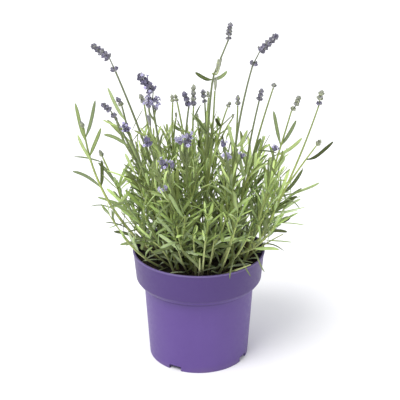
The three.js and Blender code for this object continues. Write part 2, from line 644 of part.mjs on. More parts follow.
function placeShoot(row, node, path, random) {
  const want = {
    from: random(SHOOT.from),
    azimuth: Math.atan2(row.neck[1] - row.base[1], row.neck[0] - row.base[0]) + random(SHOOT.turn),
    reach: random(SHOOT.reach),
    rise: random(SHOOT.rise),
  };
  return firstClear(
    SHOOT_TRIES,
    (i) => {
      const shoot = shootTry(path, want, i);
      const points = shares(SHOOT_STEPS, 0.12).map(shoot.at);
      return { path: shoot, rods: rodsAlong(node, "shoot", points, () => SHOOT_RADIUS.foot) };
    },
    (o) => o.node === node,
  );
}

const plants = STEMS.map((row, node) => {
  const random = seeded(7001 + 613 * node);
  const stalk = {
    path: placeStalk(row, node),
    steps: STEM_STEPS,
    from: -ROOT_SHARE,
    foot: STEM_RADIUS.foot,
    tip: STEM_RADIUS.neck,
    twist: random([0, Math.PI / 2]),
  };
  return { row, node, stalk, random, solids: [tube(stalk)], shoot: null };
});

for (const plant of plants) {
  const placed = placeShoot(plant.row, plant.node, plant.stalk.path, plant.random);
  const twist = plant.random([0, Math.PI / 2]);
  if (placed) {
    plant.shoot = { path: placed.path, steps: SHOOT_STEPS, from: 0, ...SHOOT_RADIUS, twist };
    plant.solids.push(tube(plant.shoot));
  }
}

// The variations of a leading leaf: a little lower on its stem, with its tip further back or further
// forward.
function leadingTry(leaf, i) {
  const [x, y, z] = leaf.tip;
  const side = i % 2 ? 1 : -1;
  const back = side * LEADING_TRY.depth * Math.ceil(i / 2);
  return { ...leaf, at: leaf.at - LEADING_TRY.lower * i, tip: [x, y + back, z] };
}

for (const leaf of LEADING_LEAVES) {
  const { node, stalk, solids } = plants.find(({ row }) => row.name === leaf.stem);
  if (!addLeaf(solids, node, LEAF_TRIES, (i) => leadingShape(stalk, leadingTry(leaf, i)))) {
    throw new Error("a leading leaf of " + leaf.stem + " at " + leaf.at + " finds no clear place");
  }
}

// Where the pairs of a stem stand, as shares of its path: further and further apart.
function pairShares(length, leafy) {
  const list = [];
  for (let d = FIRST_PAIR; d < length * leafy; d += PAIR_SPACING.first + PAIR_SPACING.growth * d) {
    list.push(d / length);
  }
  return list;
}

for (const { row, node, stalk, shoot, random, solids } of plants) {
  addPairs(solids, node, stalk, pairShares(lengthOf(stalk.path), row.leafy), random);
  if (shoot) addPairs(solids, node, shoot, SHOOT_LEAVES_AT, random);
}

// ---- Materials and the exported group ----
const material = (color, roughness) => new THREE.MeshStandardMaterial({ color, roughness, metalness: 0 });
const MATERIALS = {
  pot: material(0x6f559c, 0.45),
  soil: material(0x2c2018, 0.95),
  green: material(0x7f9a55, 0.7),
  bloom: material(0x6b6590, 0.75),
};

function meshOf(name, solid, look) {
  const made = outerShell(solid);
  const geometry = new THREE.BufferGeometry();
  geometry.setAttribute("position", new THREE.BufferAttribute(made.vertProperties, 3));
  geometry.setIndex(new THREE.BufferAttribute(made.triVerts, 1));
  geometry.computeVertexNormals();
  const mesh = new THREE.Mesh(geometry, look);
  mesh.name = name;
  return mesh;
}

// The solid without the cells that its leaves seal off where they cross: its largest shell alone.
function outerShell(solid) {
  const { vertProperties, triVerts } = solid.getMesh();
  const parent = Array.from({ length: vertProperties.length / 3 }, (_, i) => i);
  const find = (i) => {
    while (parent[i] !== i) i = parent[i] = parent[parent[i]];
    return i;
  };
  const counts = {};
  for (let i = 0; i < triVerts.length; i += 3) {
    parent[find(triVerts[i])] = find(triVerts[i + 1]);
    parent[find(triVerts[i])] = find(triVerts[i + 2]);
  }
  for (let i = 0; i < triVerts.length; i += 3) {
    const shell = find(triVerts[i]);
    counts[shell] = (counts[shell] ?? 0) + 1;
  }
  const largest = Math.max(...Object.values(counts));
  const kept = [];
  for (let i = 0; i < triVerts.length; i += 3) {
    if (counts[find(triVerts[i])] === largest) kept.push(...triVerts.slice(i, i + 3));
  }
  return { vertProperties, triVerts: new Uint32Array(kept) };
}

const soil = plants.reduce((body, { stalk }) => body.subtract(tube(stalk, CLEARANCE)), soilBody());
const pottedLavender = new THREE.Group();
pottedLavender.add(meshOf("pot", potSolid(), MATERIALS.pot));
pottedLavender.add(meshOf("soil", soil, MATERIALS.soil));
for (const { row, stalk, solids } of plants) {
  pottedLavender.add(meshOf("stem_" + row.name, Manifold.union(solids), MATERIALS.green));
  pottedLavender.add(meshOf("spike_" + row.name, spikeSolid(row, stalk.path.tangent(1)), MATERIALS.bloom));
}

export default pottedLavender;
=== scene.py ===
"""The looks of a potted lavender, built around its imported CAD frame.

The plant, the soil and the pot are worked out in millimetres (+Z up, -Y to the front) and turned into
metres when a mesh is made. The CAD rule that places the stems and the leaves is repeated here, so that
each fine piece lies where its CAD node lies. What the CAD leaves out, such as the small leaves between
the large ones and the young leafy shoots, is grown after it, in the room that is left.
"""
from dataclasses import dataclass
from math import acos, atan2, ceil, cos, exp, floor, hypot, pi, radians, sin, sqrt, tan
from typing import Callable

import bpy
import numpy as np
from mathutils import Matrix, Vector, noise


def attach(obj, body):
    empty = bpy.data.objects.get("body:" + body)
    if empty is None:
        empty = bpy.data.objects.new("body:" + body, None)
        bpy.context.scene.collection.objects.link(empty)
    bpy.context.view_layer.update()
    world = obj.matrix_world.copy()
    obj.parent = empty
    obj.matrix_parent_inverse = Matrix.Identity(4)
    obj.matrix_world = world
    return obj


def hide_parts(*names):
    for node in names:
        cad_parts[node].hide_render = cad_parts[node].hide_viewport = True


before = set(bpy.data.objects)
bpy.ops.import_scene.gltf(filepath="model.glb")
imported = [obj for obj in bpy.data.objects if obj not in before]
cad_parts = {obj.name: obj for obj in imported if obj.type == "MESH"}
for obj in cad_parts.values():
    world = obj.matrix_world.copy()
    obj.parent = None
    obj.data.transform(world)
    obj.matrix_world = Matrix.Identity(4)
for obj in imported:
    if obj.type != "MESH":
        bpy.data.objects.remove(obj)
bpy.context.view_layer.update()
MM = 0.001

# ---- Pot and soil, as in CAD, in mm ----
POT_HEIGHT = 112.5
WALL = 1.4
FOOT_RADIUS = 50.0
WAIST = (54.5, 77.6)
COLLAR_BOTTOM = (62.2, 84.6)
COLLAR_TOP = (64.5, 110.6)
LIP_RADIUS = 65.1
FLOOR_Z = 4.0
CENTRE_FOOT_RADIUS = 9.0
FOOT_RING = 2.2
NOTCH = {"count": 4, "first": -118, "width": 13.0, "height": 5.0, "inner": 43.0}
SOIL_Z = 101.0
SOIL_ROUGHNESS = 0.7
SOIL_RADIUS = 60.0
CLEARANCE = 0.35

# ---- The plant, as in CAD, in mm ----
STEM_RADII = (1.5, 0.75)  # at the foot and at the tip, as of all stalks here
SHOOT_RADII = (1.0, 0.6)
STEM_STEPS = 6
ROOT_SHARE = 0.045
SHOOT_STEPS = 3
LEAF_HALF_WIDTH = 1.75
LEAF_STATIONS = (0.0, 0.48, 1.0)
LEAF_ROD_RADII = (1.4, LEAF_HALF_WIDTH, 1.4)
ROOT_OFFSET = 0.3
LEAF_HABIT = {"pitch": (26, 46), "length": (27, 37), "curl": (-0.2, 0.1), "droop": (0, 0.1),
              "roll": (-0.5, 0.5)}
LOW_LEAVES = {"below": 70, "pitch": 26, "shorter": 5, "droop": 0.16}
AZIMUTH_JITTER = 0.2
GAP = 0.45
HEAD_MARGIN = 0.6
LEAF_TRIES = 9
LEAF_TRY = {"azimuth": 11, "pitch": 0.05, "length": 0.045}
LEADING_TRY = {"lower": 0.008, "depth": 3}
STEM_TRIES = 40
STEM_TRY = {"angle": 2.4, "bow": 1.6}
SHOOT_TRIES = 12
SHOOT_TRY = 14
FIRST_PAIR = 9
PAIR_SPACING = {"first": 21, "growth": 0.16}
SHOOT = {"from": (0.07, 0.16), "turn": (0.3, 1.5), "reach": (26, 44), "rise": (36, 66)}
SHOOT_LEAVES_AT = (0.42, 0.69, 0.96)

# name: base, through, neck, tip, whorls, radius, leafy, ripeness (or the lowest and the highest whorl's).
# Ripeness runs from 0, a green bud, through grey-violet, to 1, a deep violet one.
STEMS = {
    "tall_left": ((-16, -14), (-43, -13, 201), (-75, -12, 292), (-96, -12, 317), 5, 4.3, 0.48, 0.55),
    "left_spike": ((-27, -17), (-62, -27, 223), (-75, -30, 254), (-87, -32, 268), 3, 3.2, 0.7, 0.6),
    "left_bud": ((-30, 6), (-62, 7, 211), (-72, 8, 254), (-77, 10, 263), 2, 2.9, 0.85, (0.2, 0.6)),
    "pale_bud": ((-20, 12), (-45, 28, 204), (-53, 35, 250), (-57, 36, 259), 2, 2.9, 0.62, 0.25),
    "big_bloom": ((-9, -24), (-35, -32, 224), (-41, -36, 270), (-53, -40, 297), 4, 5.4, 0.8, 0.75),
    "low_left_bloom": ((-20, -26), (-52, -41, 213), (-63, -46, 246), (-66, -48, 255), 2, 3.8, 0.75, 1),
    "thin_bud_a": ((-10, 22), (-26, 49, 198), (-26, 60, 244), (-27, 61, 252), 2, 2.3, 0.6, 0.1),
    "thin_bud_b": ((-3, 28), (-13, 61, 194), (-22, 76, 240), (-24, 77, 248), 2, 2.2, 0.6, 0.1),
    "middle_spike": ((-2, -14), (-13, -11, 217), (-9, -10, 259), (-14, -12, 274), 3, 3.3, 0.7, 0.75),
    "green_spike": ((2, 8), (-6, 24, 206), (-5, 30, 248), (-5, 31, 270), 4, 3.1, 0.72, (0.5, 0.1)),
    "middle_bud": ((8, 16), (8, 40, 201), (6, 50, 246), (4, 50, 260), 2, 2.9, 0.68, 0.5),
    "far_bud": ((10, 34), (7, 69, 191), (10, 86, 242), (9, 87, 249), 2, 2.0, 0.66, 0.15),
    "top_spike": ((14, -2), (8, -1, 214), (27, 2, 318), (29, 2, 334), 4, 3.1, 0.62, 0.42),
    "tall_right": ((34, -14), (36, -18, 239), (48, -20, 299), (70, -22, 328), 5, 4.3, 0.58, 0.55),
    "small_bud": ((18, 26), (18, 59, 200), (29, 70, 236), (32, 71, 242), 2, 2.3, 0.6, 0.15),
    "right_bud_a": ((22, 12), (36, 32, 203), (38, 40, 246), (38, 40, 257), 2, 2.6, 0.66, 0.3),
    "right_spike": ((39, -7), (48, -14, 228), (55, -16, 266), (57, -18, 278), 3, 2.9, 0.72, 0.5),
    "right_bud_b": ((33, 8), (55, 19, 212), (71, 25, 268), (72, 25, 273), 1, 2.7, 0.6, 0.3),
    "right_head": ((44, 3), (79, 12, 215), (88, 15, 248), (95, 15, 263), 3, 3.1, 0.66, (0.0, 0.2)),
    "far_right_head": ((47, -6), (91, -15, 204), (109, -20, 263), (111, -22, 278), 2, 3.2, 0.4, (0.6, 0.2)),
    "right_low_bud": ((46, 12), (98, 27, 184), (115, 30, 208), (120, 30, 215), 1, 2.6, 0.55, 0.1),
    "left_branch": ((-38, -4), (-96, -5, 185), (-107, -6, 237), (-110, -8, 245), 1, 1.9, 0.14, 0.2),
    "left_low_bud": ((-37, 10), (-83, 21, 174), (-94, 25, 198), (-97, 25, 206), 1, 2.1, 0.66, 0.2),
    "near_bloom_a": ((-4, -32), (-35, -53, 208), (-43, -60, 237), (-46, -62, 246), 2, 3.8, 0.8, 0.9),
    "near_bloom_b": ((6, -26), (-24, -58, 195), (-29, -68, 219), (-33, -70, 228), 2, 3.8, 0.85, 0.7),
    "near_bloom_c": ((12, -20), (-11, -47, 210), (-10, -54, 234), (-8, -56, 247), 3, 3.4, 0.8, 0.65),
    "near_bloom_d": ((30, -22), (26, -54, 217), (22, -60, 236), (21, -61, 242), 1, 2.3, 0.85, 1),
    "right_near": ((42, -18), (64, -40, 198), (67, -46, 228), (69, -48, 234), 1, 2.3, 0.85, 0.8),
}
KNEES = {"top_spike": (13, 0, 284)}  # where a stem turns
# Where the dense part of a spike begins, if a whorl stands apart below it.
DENSE_FROM = {
    "tall_left": (-80, -12, 304),
    "left_spike": (-79, -31, 261),
    "big_bloom": (-40, -38, 280),
    "middle_bud": (5, 50, 251),
    "top_spike": (27, 2, 322),
    "tall_right": (54, -21, 312),
    "right_head": (92, 15, 253),
    "far_right_head": (109, -21, 268),
}
# Stem, then for each leaf: share of the stem's path, tip, arch, whether the upper face turns to the front.
LEADING_LEAVES = [
    ("left_branch", (0.97, (-116, -7, 258), -2, True), (0.98, (-96, -5, 261), -2, True)),
    ("left_branch", (0.81, (-112, -8, 233), -1, True), (0.82, (-92, -2, 236), -2, True)),
    ("left_branch", (0.6, (-119, -10, 196), 3, True), (0.61, (-92, 2, 203), -2, True)),
    ("left_branch", (0.44, (-104, -8, 160), 3, False), (0.45, (-66, 3, 172), -2, True)),
    ("left_branch", (0.28, (-90, -14, 146), 2, False), (0.17, (-84, 6, 127), 3, True)),
    ("left_low_bud", (0.94, (-122, 24, 199), 2, False), (0.72, (-97, 18, 196), 2, True)),
    ("left_low_bud", (0.7, (-64, 21, 190), -2, True)),
    ("left_spike", (0.8, (-86, -30, 238), 3, True), (0.45, (-84, -34, 170), 3, False)),
    ("left_bud", (0.95, (-86, 7, 270), -2, True)),
    ("top_spike", (0.815, (-3, -2, 289), -2, True), (0.82, (26, 4, 289), -3, True)),
    ("thin_bud_b", (0.8, (-27, 66, 219), -1, True)),
    ("green_spike", (0.94, (8, 26, 224), 1, True), (0.93, (2, 28, 252), 1, False)),
    ("small_bud", (0.85, (17, 62, 227), 0, True)),
    ("right_bud_b", (0.6, (59, 18, 223), 1, True)),
    ("tall_right", (0.62, (27, -19, 246), -4, True), (0.61, (45, -15, 238), -4, True)),
    ("right_head", (0.77, (70, 10, 249), 1, True), (0.78, (93, 14, 238), -2, True)),
    ("right_head", (0.72, (57, 8, 211), 1, False), (0.71, (99, 16, 221), -3, True)),
    ("right_low_bud", (0.87, (131, 27, 214), -4, True), (0.6, (101, 22, 190), -2, False)),
    ("right_low_bud", (0.38, (96, 18, 163), 3, True)),
    ("far_right_head", (0.48, (97, -16, 201), -3, True), (0.43, (97, -14, 158), 4, False)),
    ("far_right_head", (0.28, (88, -12, 150), -3, True), (0.19, (86, -8, 133), 2, True)),
    ("far_right_head", (0.11, (83, -12, 114), 5, False)),
    ("near_bloom_d", (0.19, (29, -73, 107), 6, False), (0.13, (47, -58, 104), 7, False)),
    ("right_near", (0.17, (60, -53, 105), 7, False)),
    ("near_bloom_b", (0.7, (-37, -97, 184), 2, False)),
    ("near_bloom_d", (0.66, (34, -96, 190), 2, False)),
]

# ---- What the CAD leaves out, in mm ----
# The share of a spike's calyces that hold an open floret, and the florets' size.
OPEN_FLORETS = {
    "big_bloom": (0.12, 1.0),
    "low_left_bloom": (0.2, 0.9),
    "near_bloom_a": (0.15, 0.9),
    "near_bloom_b": (0.35, 1.05),
    "near_bloom_c": (0.25, 1.05),
    "near_bloom_d": (0.3, 0.9),
    "right_near": (0.3, 0.9),
}
LOWER_OPEN = {"big_bloom": 0.7}  # the share in the whorl that stands apart, where it is another
# Slim side stalks that end in a small bud or bloom: stem, share of its path, a point on the stalk's way or
# None, the bud's tip, ripeness, length, radius and share of open florets.
SLIM_BUDS = [
    ("big_bloom", 0.6, None, (-47.5, 0, 250), 0.4, 13, 1.7, 0),
    ("big_bloom", 0.9, None, (-45, -38, 270), 0.6, 5, 2.2, 0.7),
    ("big_bloom", 0.88, None, (-38, -37, 268), 0.6, 5, 2.2, 0.7),
    ("thin_bud_a", 0.5, None, (-22.5, 50, 237), 0.0, 6, 1.2, 0),
    ("middle_bud", 0.6, None, (-2, 45, 237), 0.1, 8, 1.3, 0),
    ("small_bud", 0.62, None, (35, 66, 231), 0.0, 6, 1.2, 0),
    ("left_spike", 0.72, None, (-75, -28, 254), 0.5, 4, 1.4, 0),
    ("top_spike", 0.3, (13.4, 0, 240), (15.6, -1, 285), 0.2, 14, 1.5, 0),
    ("top_spike", 0.84, None, (19.6, -2, 303), 0.14, 17, 2.0, 0),
    ("near_bloom_b", 0.82, None, (-23, -69, 225), 0.8, 6, 2.0, 0.3),
    ("near_bloom_b", 0.6, None, (-32, -64, 199), 0.6, 4, 1.5, 0.6),
    ("near_bloom_c", 0.85, None, (-17, -55, 243), 0.6, 7, 2.2, 0.3),
    ("near_bloom_d", 0.8, None, (25, -51, 225), 0.8, 5, 1.6, 0.3),
    ("tall_right", 0.42, None, (40, -27, 219), 0.9, 5, 1.6, 0.2),
]
EXTRA_GAP = 0.05
GROWN = {"curl": (-0.36, 0.18), "droop": (0, 0.1), "roll": (-0.6, 0.6), "tries": 4}
BETWEEN = {"jitter": 0.3, "last": 14, "pitch": (14, 34), "lower_pitch": 24, "length": (20, 32), "size": 0.8}
TUFT = {"leaves": 2, "below": 90, "jitter": 0.9, "above": (1, 7), "pitch": (6, 30), "length": (12, 23),
        "size": 0.72}
ON_SHOOT = {"at": (0.25, 0.34, 0.55, 0.62, 0.82, 0.9, 0.99), "turn": 0.4, "pitch": (18, 44),
            "length": (14, 24)}
# Stems without side shoots.
BARE = ("left_branch", "left_low_bud", "right_low_bud", "right_head", "far_right_head")
SIDE_SHOOTS = {"each": 3, "from": (0.2, 0.58), "reach": (4, 15), "rise": (38, 70), "top": 216, "least": 20,
               "tries": 10, "try": 0.5}
SIDE_LEAVES = {"first": 11, "spacing": (8, 11), "jitter": 0.3, "pitch": (12, 34), "length": (19, 31),
               "taper": 0.35, "curl": (-0.3, 0.15), "size": 0.8}
SIDE_RADII = (0.85, 0.4)
YOUNG_SHOOTS = 118
INNER_SHOOTS = 22  # the last ones stand near the pot's axis
INNER_REACH = 30.0
YOUNG_REACH = 46.0  # from the pot's axis to the outermost young shoot's foot
YOUNG = {"reach": (0.7, 1.05), "beyond": (0, 14), "rise": (86, 118), "lower": 0.75, "tries": 16, "try": 0.09}
SHORT = 0.6  # how high every third young shoot is beside the others
SHORT_FROM = 14.0  # from the pot's axis
# The lean is added to the pitch at a shoot's foot, and is stronger near the pot's axis.
YOUNG_LEAVES = {"first": 7, "spacing": (8.5, 11.5), "jitter": 0.25, "pitch": (14, 34), "length": (26, 37),
                "droop": (0, 0.16), "lean": 18, "inner_lean": 26, "inner": 34, "vary": (0.85, 1)}
YOUNG_RADII = (1.15, 0.5)
TUFT_AT = 0.985  # share of a shoot's path
# Leaves, first azimuth, pitch, length, curl and size of the tuft at a shoot's tip.
SIDE_TUFT = (4, 0.4, (4, 18), (9, 15), (-0.1, 0.2), 0.68)
YOUNG_TUFT = (6, 0.0, (6, 24), (9, 17), (-0.1, 0.3), 0.55)
OLD_LEAVES = {"count": 210, "root": (5, 34), "pitch": (46, 94), "length": (28, 46), "curl": (-0.35, 0.25),
              "droop": (0.08, 0.5), "size": (0.85, 1.05)}
# No grown leaf may end here: from inside the rim outwards, below a cone that starts above it.
OVER_RIM = {"inside": 5, "above": 14, "slope": 0.8}
# Painted shade: a place in the foliage counts as open to the light if it is high, or far from the pot's axis
# for its height, and is coloured lighter there, darker deeper in.
PAINTED_CROWN_SHADE = {"reach": 56, "spread": 0.3, "height": 115, "from": 0.3, "over": 0.55}
GOLDEN_ANGLE = pi * (3 - sqrt(5))


# ---- Small helpers ----
def vec(*numbers):
    return np.array(numbers, float)


def up(z):
    return vec(0, 0, z)


def unit(v):
    return v / np.linalg.norm(v)


def normalized(rows):
    return rows / np.linalg.norm(rows, axis=-1, keepdims=True)


def shares(steps, start=0.0):
    return [start + (1 - start) * k / steps for k in range(steps + 1)]


def smooth(x):
    x = min(max(x, 0.0), 1.0)
    return x * x * (3 - 2 * x)


def turns(count):
    """Even angles, once round."""
    return 2 * pi * np.arange(count) / count


def swing(i):
    """0, 1, -1, 2, -2 and so on, for tries to one side and the other."""
    return (1 if i % 2 else -1) * ceil(i / 2)


class Draw:
    """The seeded generator of the CAD source."""

    MULTIPLIER = 16807
    MODULUS = 2147483647

    def __init__(self, seed):
        self.state = seed

    def __call__(self, low, high):
        self.state = self.state * self.MULTIPLIER % self.MODULUS
        return low + (high - low) * self.state / self.MODULUS


REFERENCE = vec(0.6, 0.8, 0)


def spoke(axes, angle):
    return axes[0] * cos(angle) + axes[1] * sin(angle)


def heading(angle):
    return vec(cos(angle), sin(angle), 0)


def frame_at(tangent, twist=0.0):
    side = unit(np.cross(REFERENCE, tangent))
    u = spoke((side, np.cross(tangent, side)), twist)
    return u, np.cross(tangent, u)


class Curve:
    """From a to b through a middle point, moved sideways by a bow that fades at both ends."""

    def __init__(self, a, through, b, bow=(0, 0, 0)):
        first = np.linalg.norm(through - a)
        middle = first / (first + np.linalg.norm(b - through))
        self.a = a
        self.b = b
        self.bow = np.array(bow, float)
        self.control = (through - (1 - middle) ** 2 * a - middle**2 * b) / (2 * middle * (1 - middle))

    def at(self, t):
        ends = (1 - t) * (1 - t) * self.a + t * t * self.b
        return ends + 2 * t * (1 - t) * self.control + sin(pi * t) * self.bow

    def tangent(self, t):
        return unit(self.at(t + 0.01) - self.at(t - 0.01))

    def length(self):
        points = [self.at(t) for t in shares(12)]
        return sum(np.linalg.norm(q - p) for p, q in zip(points, points[1:]))


class Bent(Curve):
    """A curve that turns at its end, at the last corner but one of the stalk, and runs straight on."""

    KNEE_AT = shares(STEM_STEPS, -ROOT_SHARE)[STEM_STEPS - 1]

    def __init__(self, curve, end):
        self.lower = curve
        self.knee = curve.at(1)
        self.end = end

    def at(self, t):
        if t < self.KNEE_AT:
            return self.lower.at(t / self.KNEE_AT)
        return self.knee + (self.end - self.knee) * (t - self.KNEE_AT) / (1 - self.KNEE_AT)


@dataclass
class Stalk:
    """A curve with a thickness; `straight` is its centre on the CAD solid, which runs in straight steps."""

    path: Curve
    steps: int
    start: float
    radii: tuple
    twist: float

    def radius(self, t):
        foot, tip = self.radii
        return foot + (tip - foot) * max(t, 0)

    def straight(self, t):
        place = (t - self.start) / (1 - self.start) * self.steps
        step = min(floor(place), self.steps - 1)
        near, far = (self.path.at(corner) for corner in shares(self.steps, self.start)[step : step + 2])
        return near + (far - near) * (place - step)


# ---- Keeping clear, as in CAD ----
class Crowd:
    """The round-ended rods that stand for what is placed, in arrays, to test one rod against all."""

    ROOM = 40000
    PARALLEL = 1e-9

    def __init__(self):
        self.p = np.zeros((self.ROOM, 3))
        self.d = np.zeros((self.ROOM, 3))
        self.radius = np.zeros(self.ROOM)
        self.node = np.zeros(self.ROOM, int)
        self.is_root = np.zeros(self.ROOM, bool)
        self.count = 0

    def add(self, rods):
        for rod in rods:
            k = self.count
            self.p[k] = rod["p"]
            self.d[k] = rod["q"] - rod["p"]
            self.radius[k] = rod["radius"]
            self.node[k] = rod["node"]
            self.is_root[k] = rod["kind"] == "root"
            self.count += 1

    def distances(self, rod):
        """From the rod's middle line to every other one: the nearest points of two segments."""
        d1 = rod["q"] - rod["p"]
        d2 = self.d[: self.count]
        r = rod["p"] - self.p[: self.count]
        a = d1 @ d1
        b = d2 @ d1
        c = r @ d1
        e = np.einsum("ij,ij->i", d2, d2)
        f = np.einsum("ij,ij->i", d2, r)
        spread = a * e - b * b
        safe = np.where(spread > self.PARALLEL, spread, 1.0)
        s = np.where(spread > self.PARALLEL, np.clip((b * f - c * e) / safe, 0, 1), 0.0)
        t = (b * s + f) / e
        outside = (t < 0) | (t > 1)
        t = np.clip(t, 0, 1)
        s = np.where(outside, np.clip((b * t - c) / a, 0, 1), s)
        apart = r + s[:, None] * d1 - t[:, None] * d2
        return np.sqrt(np.einsum("ij,ij->i", apart, apart))

    def is_clear(self, rods, gap, ignored):
        for rod in rods:
            near = self.distances(rod) <= rod["radius"] + self.radius[: self.count] + gap
            if np.any(near & ~ignored(rod)):
                return False
        return True


crowd = Crowd()


def ignore_nothing(rod):
    return np.zeros(crowd.count, bool)


def ignore_own(rod):
    return crowd.node[: crowd.count] == rod["node"]


def ignore_own_roots(rod):
    """A leaf's root may touch its own stem and the roots beside it."""
    return ignore_own(rod) if rod["kind"] == "root" else ignore_own(rod) & crowd.is_root[: crowd.count]


def clear_of_pot(point, room):
    radius = hypot(point[0], point[1])
    from_wall = max(SOIL_RADIUS + 2 - radius, radius - LIP_RADIUS, 0)
    over_lip = max(point[2] - POT_HEIGHT, 0)
    over_soil = radius > SOIL_RADIUS + 2 or point[2] > SOIL_Z + 2 * SOIL_ROUGHNESS + room
    return hypot(from_wall, over_lip) > room and over_soil


def is_above_soil(rods, gap):
    along = lambda rod, s: rod["p"] + (rod["q"] - rod["p"]) * s
    return all(clear_of_pot(along(rod, s), rod["radius"] + gap) for rod in rods for s in shares(4))


def first_clear(tries, make, ignored, gap=GAP):
    """The first of several tries that stands clear, which then joins the crowd; None where none does."""
    for i in range(tries):
        made, rods = make(i)
        above = is_above_soil([rod for rod in rods if rod["kind"] != "stalk"], gap)
        if above and crowd.is_clear(rods, gap, ignored):
            crowd.add(rods)
            return made
    return None


def rods_along(node, kind, points, radius):
    rods = [{"node": node, "kind": kind, "p": p, "q": q} for p, q in zip(points, points[1:])]
    return [{**rod, "radius": radius(k)} for k, rod in enumerate(rods)]


# ---- Leaves: where they go ----
@dataclass
class Leaf:
    """A leaf's middle line at(s) for s from 0 to 1, and the direction `wide` across its blade."""

    at: Callable
    wide: np.ndarray
    length: float
    shift: np.ndarray  # from the CAD's straight-stepped stalk to the smooth one
    size: float = 1.0
    shade: float = 1.0  # below 1 for a leaf painted darker, as painted shade

    def middle(self, s):
        """The middle line, led back to the smooth stalk at its root."""
        return self.at(s) + self.shift * (1 - s) ** 2

    def rods(self, node):
        root, middle, tip = (self.at(s) for s in LEAF_STATIONS)
        points = [root + (middle - root) * 0.25, root + (middle - root) * 0.75, middle, tip]
        rods = rods_along(node, "leaf", points, lambda k: LEAF_ROD_RADII[k] * self.size)
        rods[0]["kind"] = "root"
        return rods


def pair_leaf(stalk, t, habit, size=1.0):
    tangent = stalk.path.tangent(t)
    out = spoke(frame_at(tangent, stalk.twist), habit["azimuth"])
    along = spoke((tangent, out), habit["pitch"])
    upper = tangent * sin(habit["pitch"]) - out * cos(habit["pitch"])
    wide = spoke((np.cross(along, upper), upper), habit["roll"])
    centre = stalk.straight(t)
    root = centre + out * ROOT_OFFSET * stalk.radius(t)
    length = habit["length"]
    bend = upper * length * habit["curl"] + up(-length * habit["droop"])
    shift = stalk.path.at(t) - centre
    return Leaf(lambda s: root + along * length * s + bend * s * s, wide, length, shift, size)


def leading_leaf(stalk, t, tip, arch, broad):
    centre = stalk.straight(t)
    tip = vec(*tip)
    length = np.linalg.norm(tip - centre)
    root = centre + unit(tip - centre) * ROOT_OFFSET * stalk.radius(t)
    wide = unit(np.cross(tip - centre, (0, -1, 0) if broad else (0, 0, 1)))
    rise = up(1) if broad else unit(np.cross(wide, tip - centre))
    bulge = rise * 4 * arch
    shift = stalk.path.at(t) - centre
    return Leaf(lambda s: root + (tip - root) * s + bulge * s * (1 - s), wide, length, shift)


def varied(habit, i):
    return {
        **habit,
        "azimuth": habit["azimuth"] + radians(LEAF_TRY["azimuth"]) * swing(i),
        "pitch": habit["pitch"] * (1 - LEAF_TRY["pitch"] * i),
        "length": habit["length"] * (1 - LEAF_TRY["length"] * i),
    }


def place_leaf(node, tries, make, gap=GAP):
    def attempt(i):
        leaf = make(i)
        return leaf, leaf.rods(node)

    return first_clear(tries, attempt, ignore_own_roots, gap)


def crosswise(draw, k, side, jitter):
    """The azimuth of a leaf: each pair is turned a quarter from the one below."""
    return k * pi / 2 + side * pi + draw(-jitter, jitter)


def lowness(height):
    return max(0, 1 - height / LOW_LEAVES["below"])


def pair_habit(draw, k, side, height):
    low = lowness(height)
    return {
        "azimuth": crosswise(draw, k, side, AZIMUTH_JITTER),
        "pitch": radians(draw(*LEAF_HABIT["pitch"]) + LOW_LEAVES["pitch"] * low),
        "length": draw(*LEAF_HABIT["length"]) - LOW_LEAVES["shorter"] * low,
        "curl": draw(*LEAF_HABIT["curl"]) * (1 - low),
        "droop": draw(*LEAF_HABIT["droop"]) + LOW_LEAVES["droop"] * low,
        "roll": draw(*LEAF_HABIT["roll"]),
    }


def place_pairs(plant, stalk, places):
    for k, t in enumerate(places):
        height = stalk.path.at(t)[2] - SOIL_Z
        for side in (0, 1):
            habit = pair_habit(plant.draw, k, side, height)
            leaf = place_leaf(plant.node, LEAF_TRIES, lambda i: pair_leaf(stalk, t, varied(habit, i)))
            if leaf:
                plant.leaves.append((leaf, height))


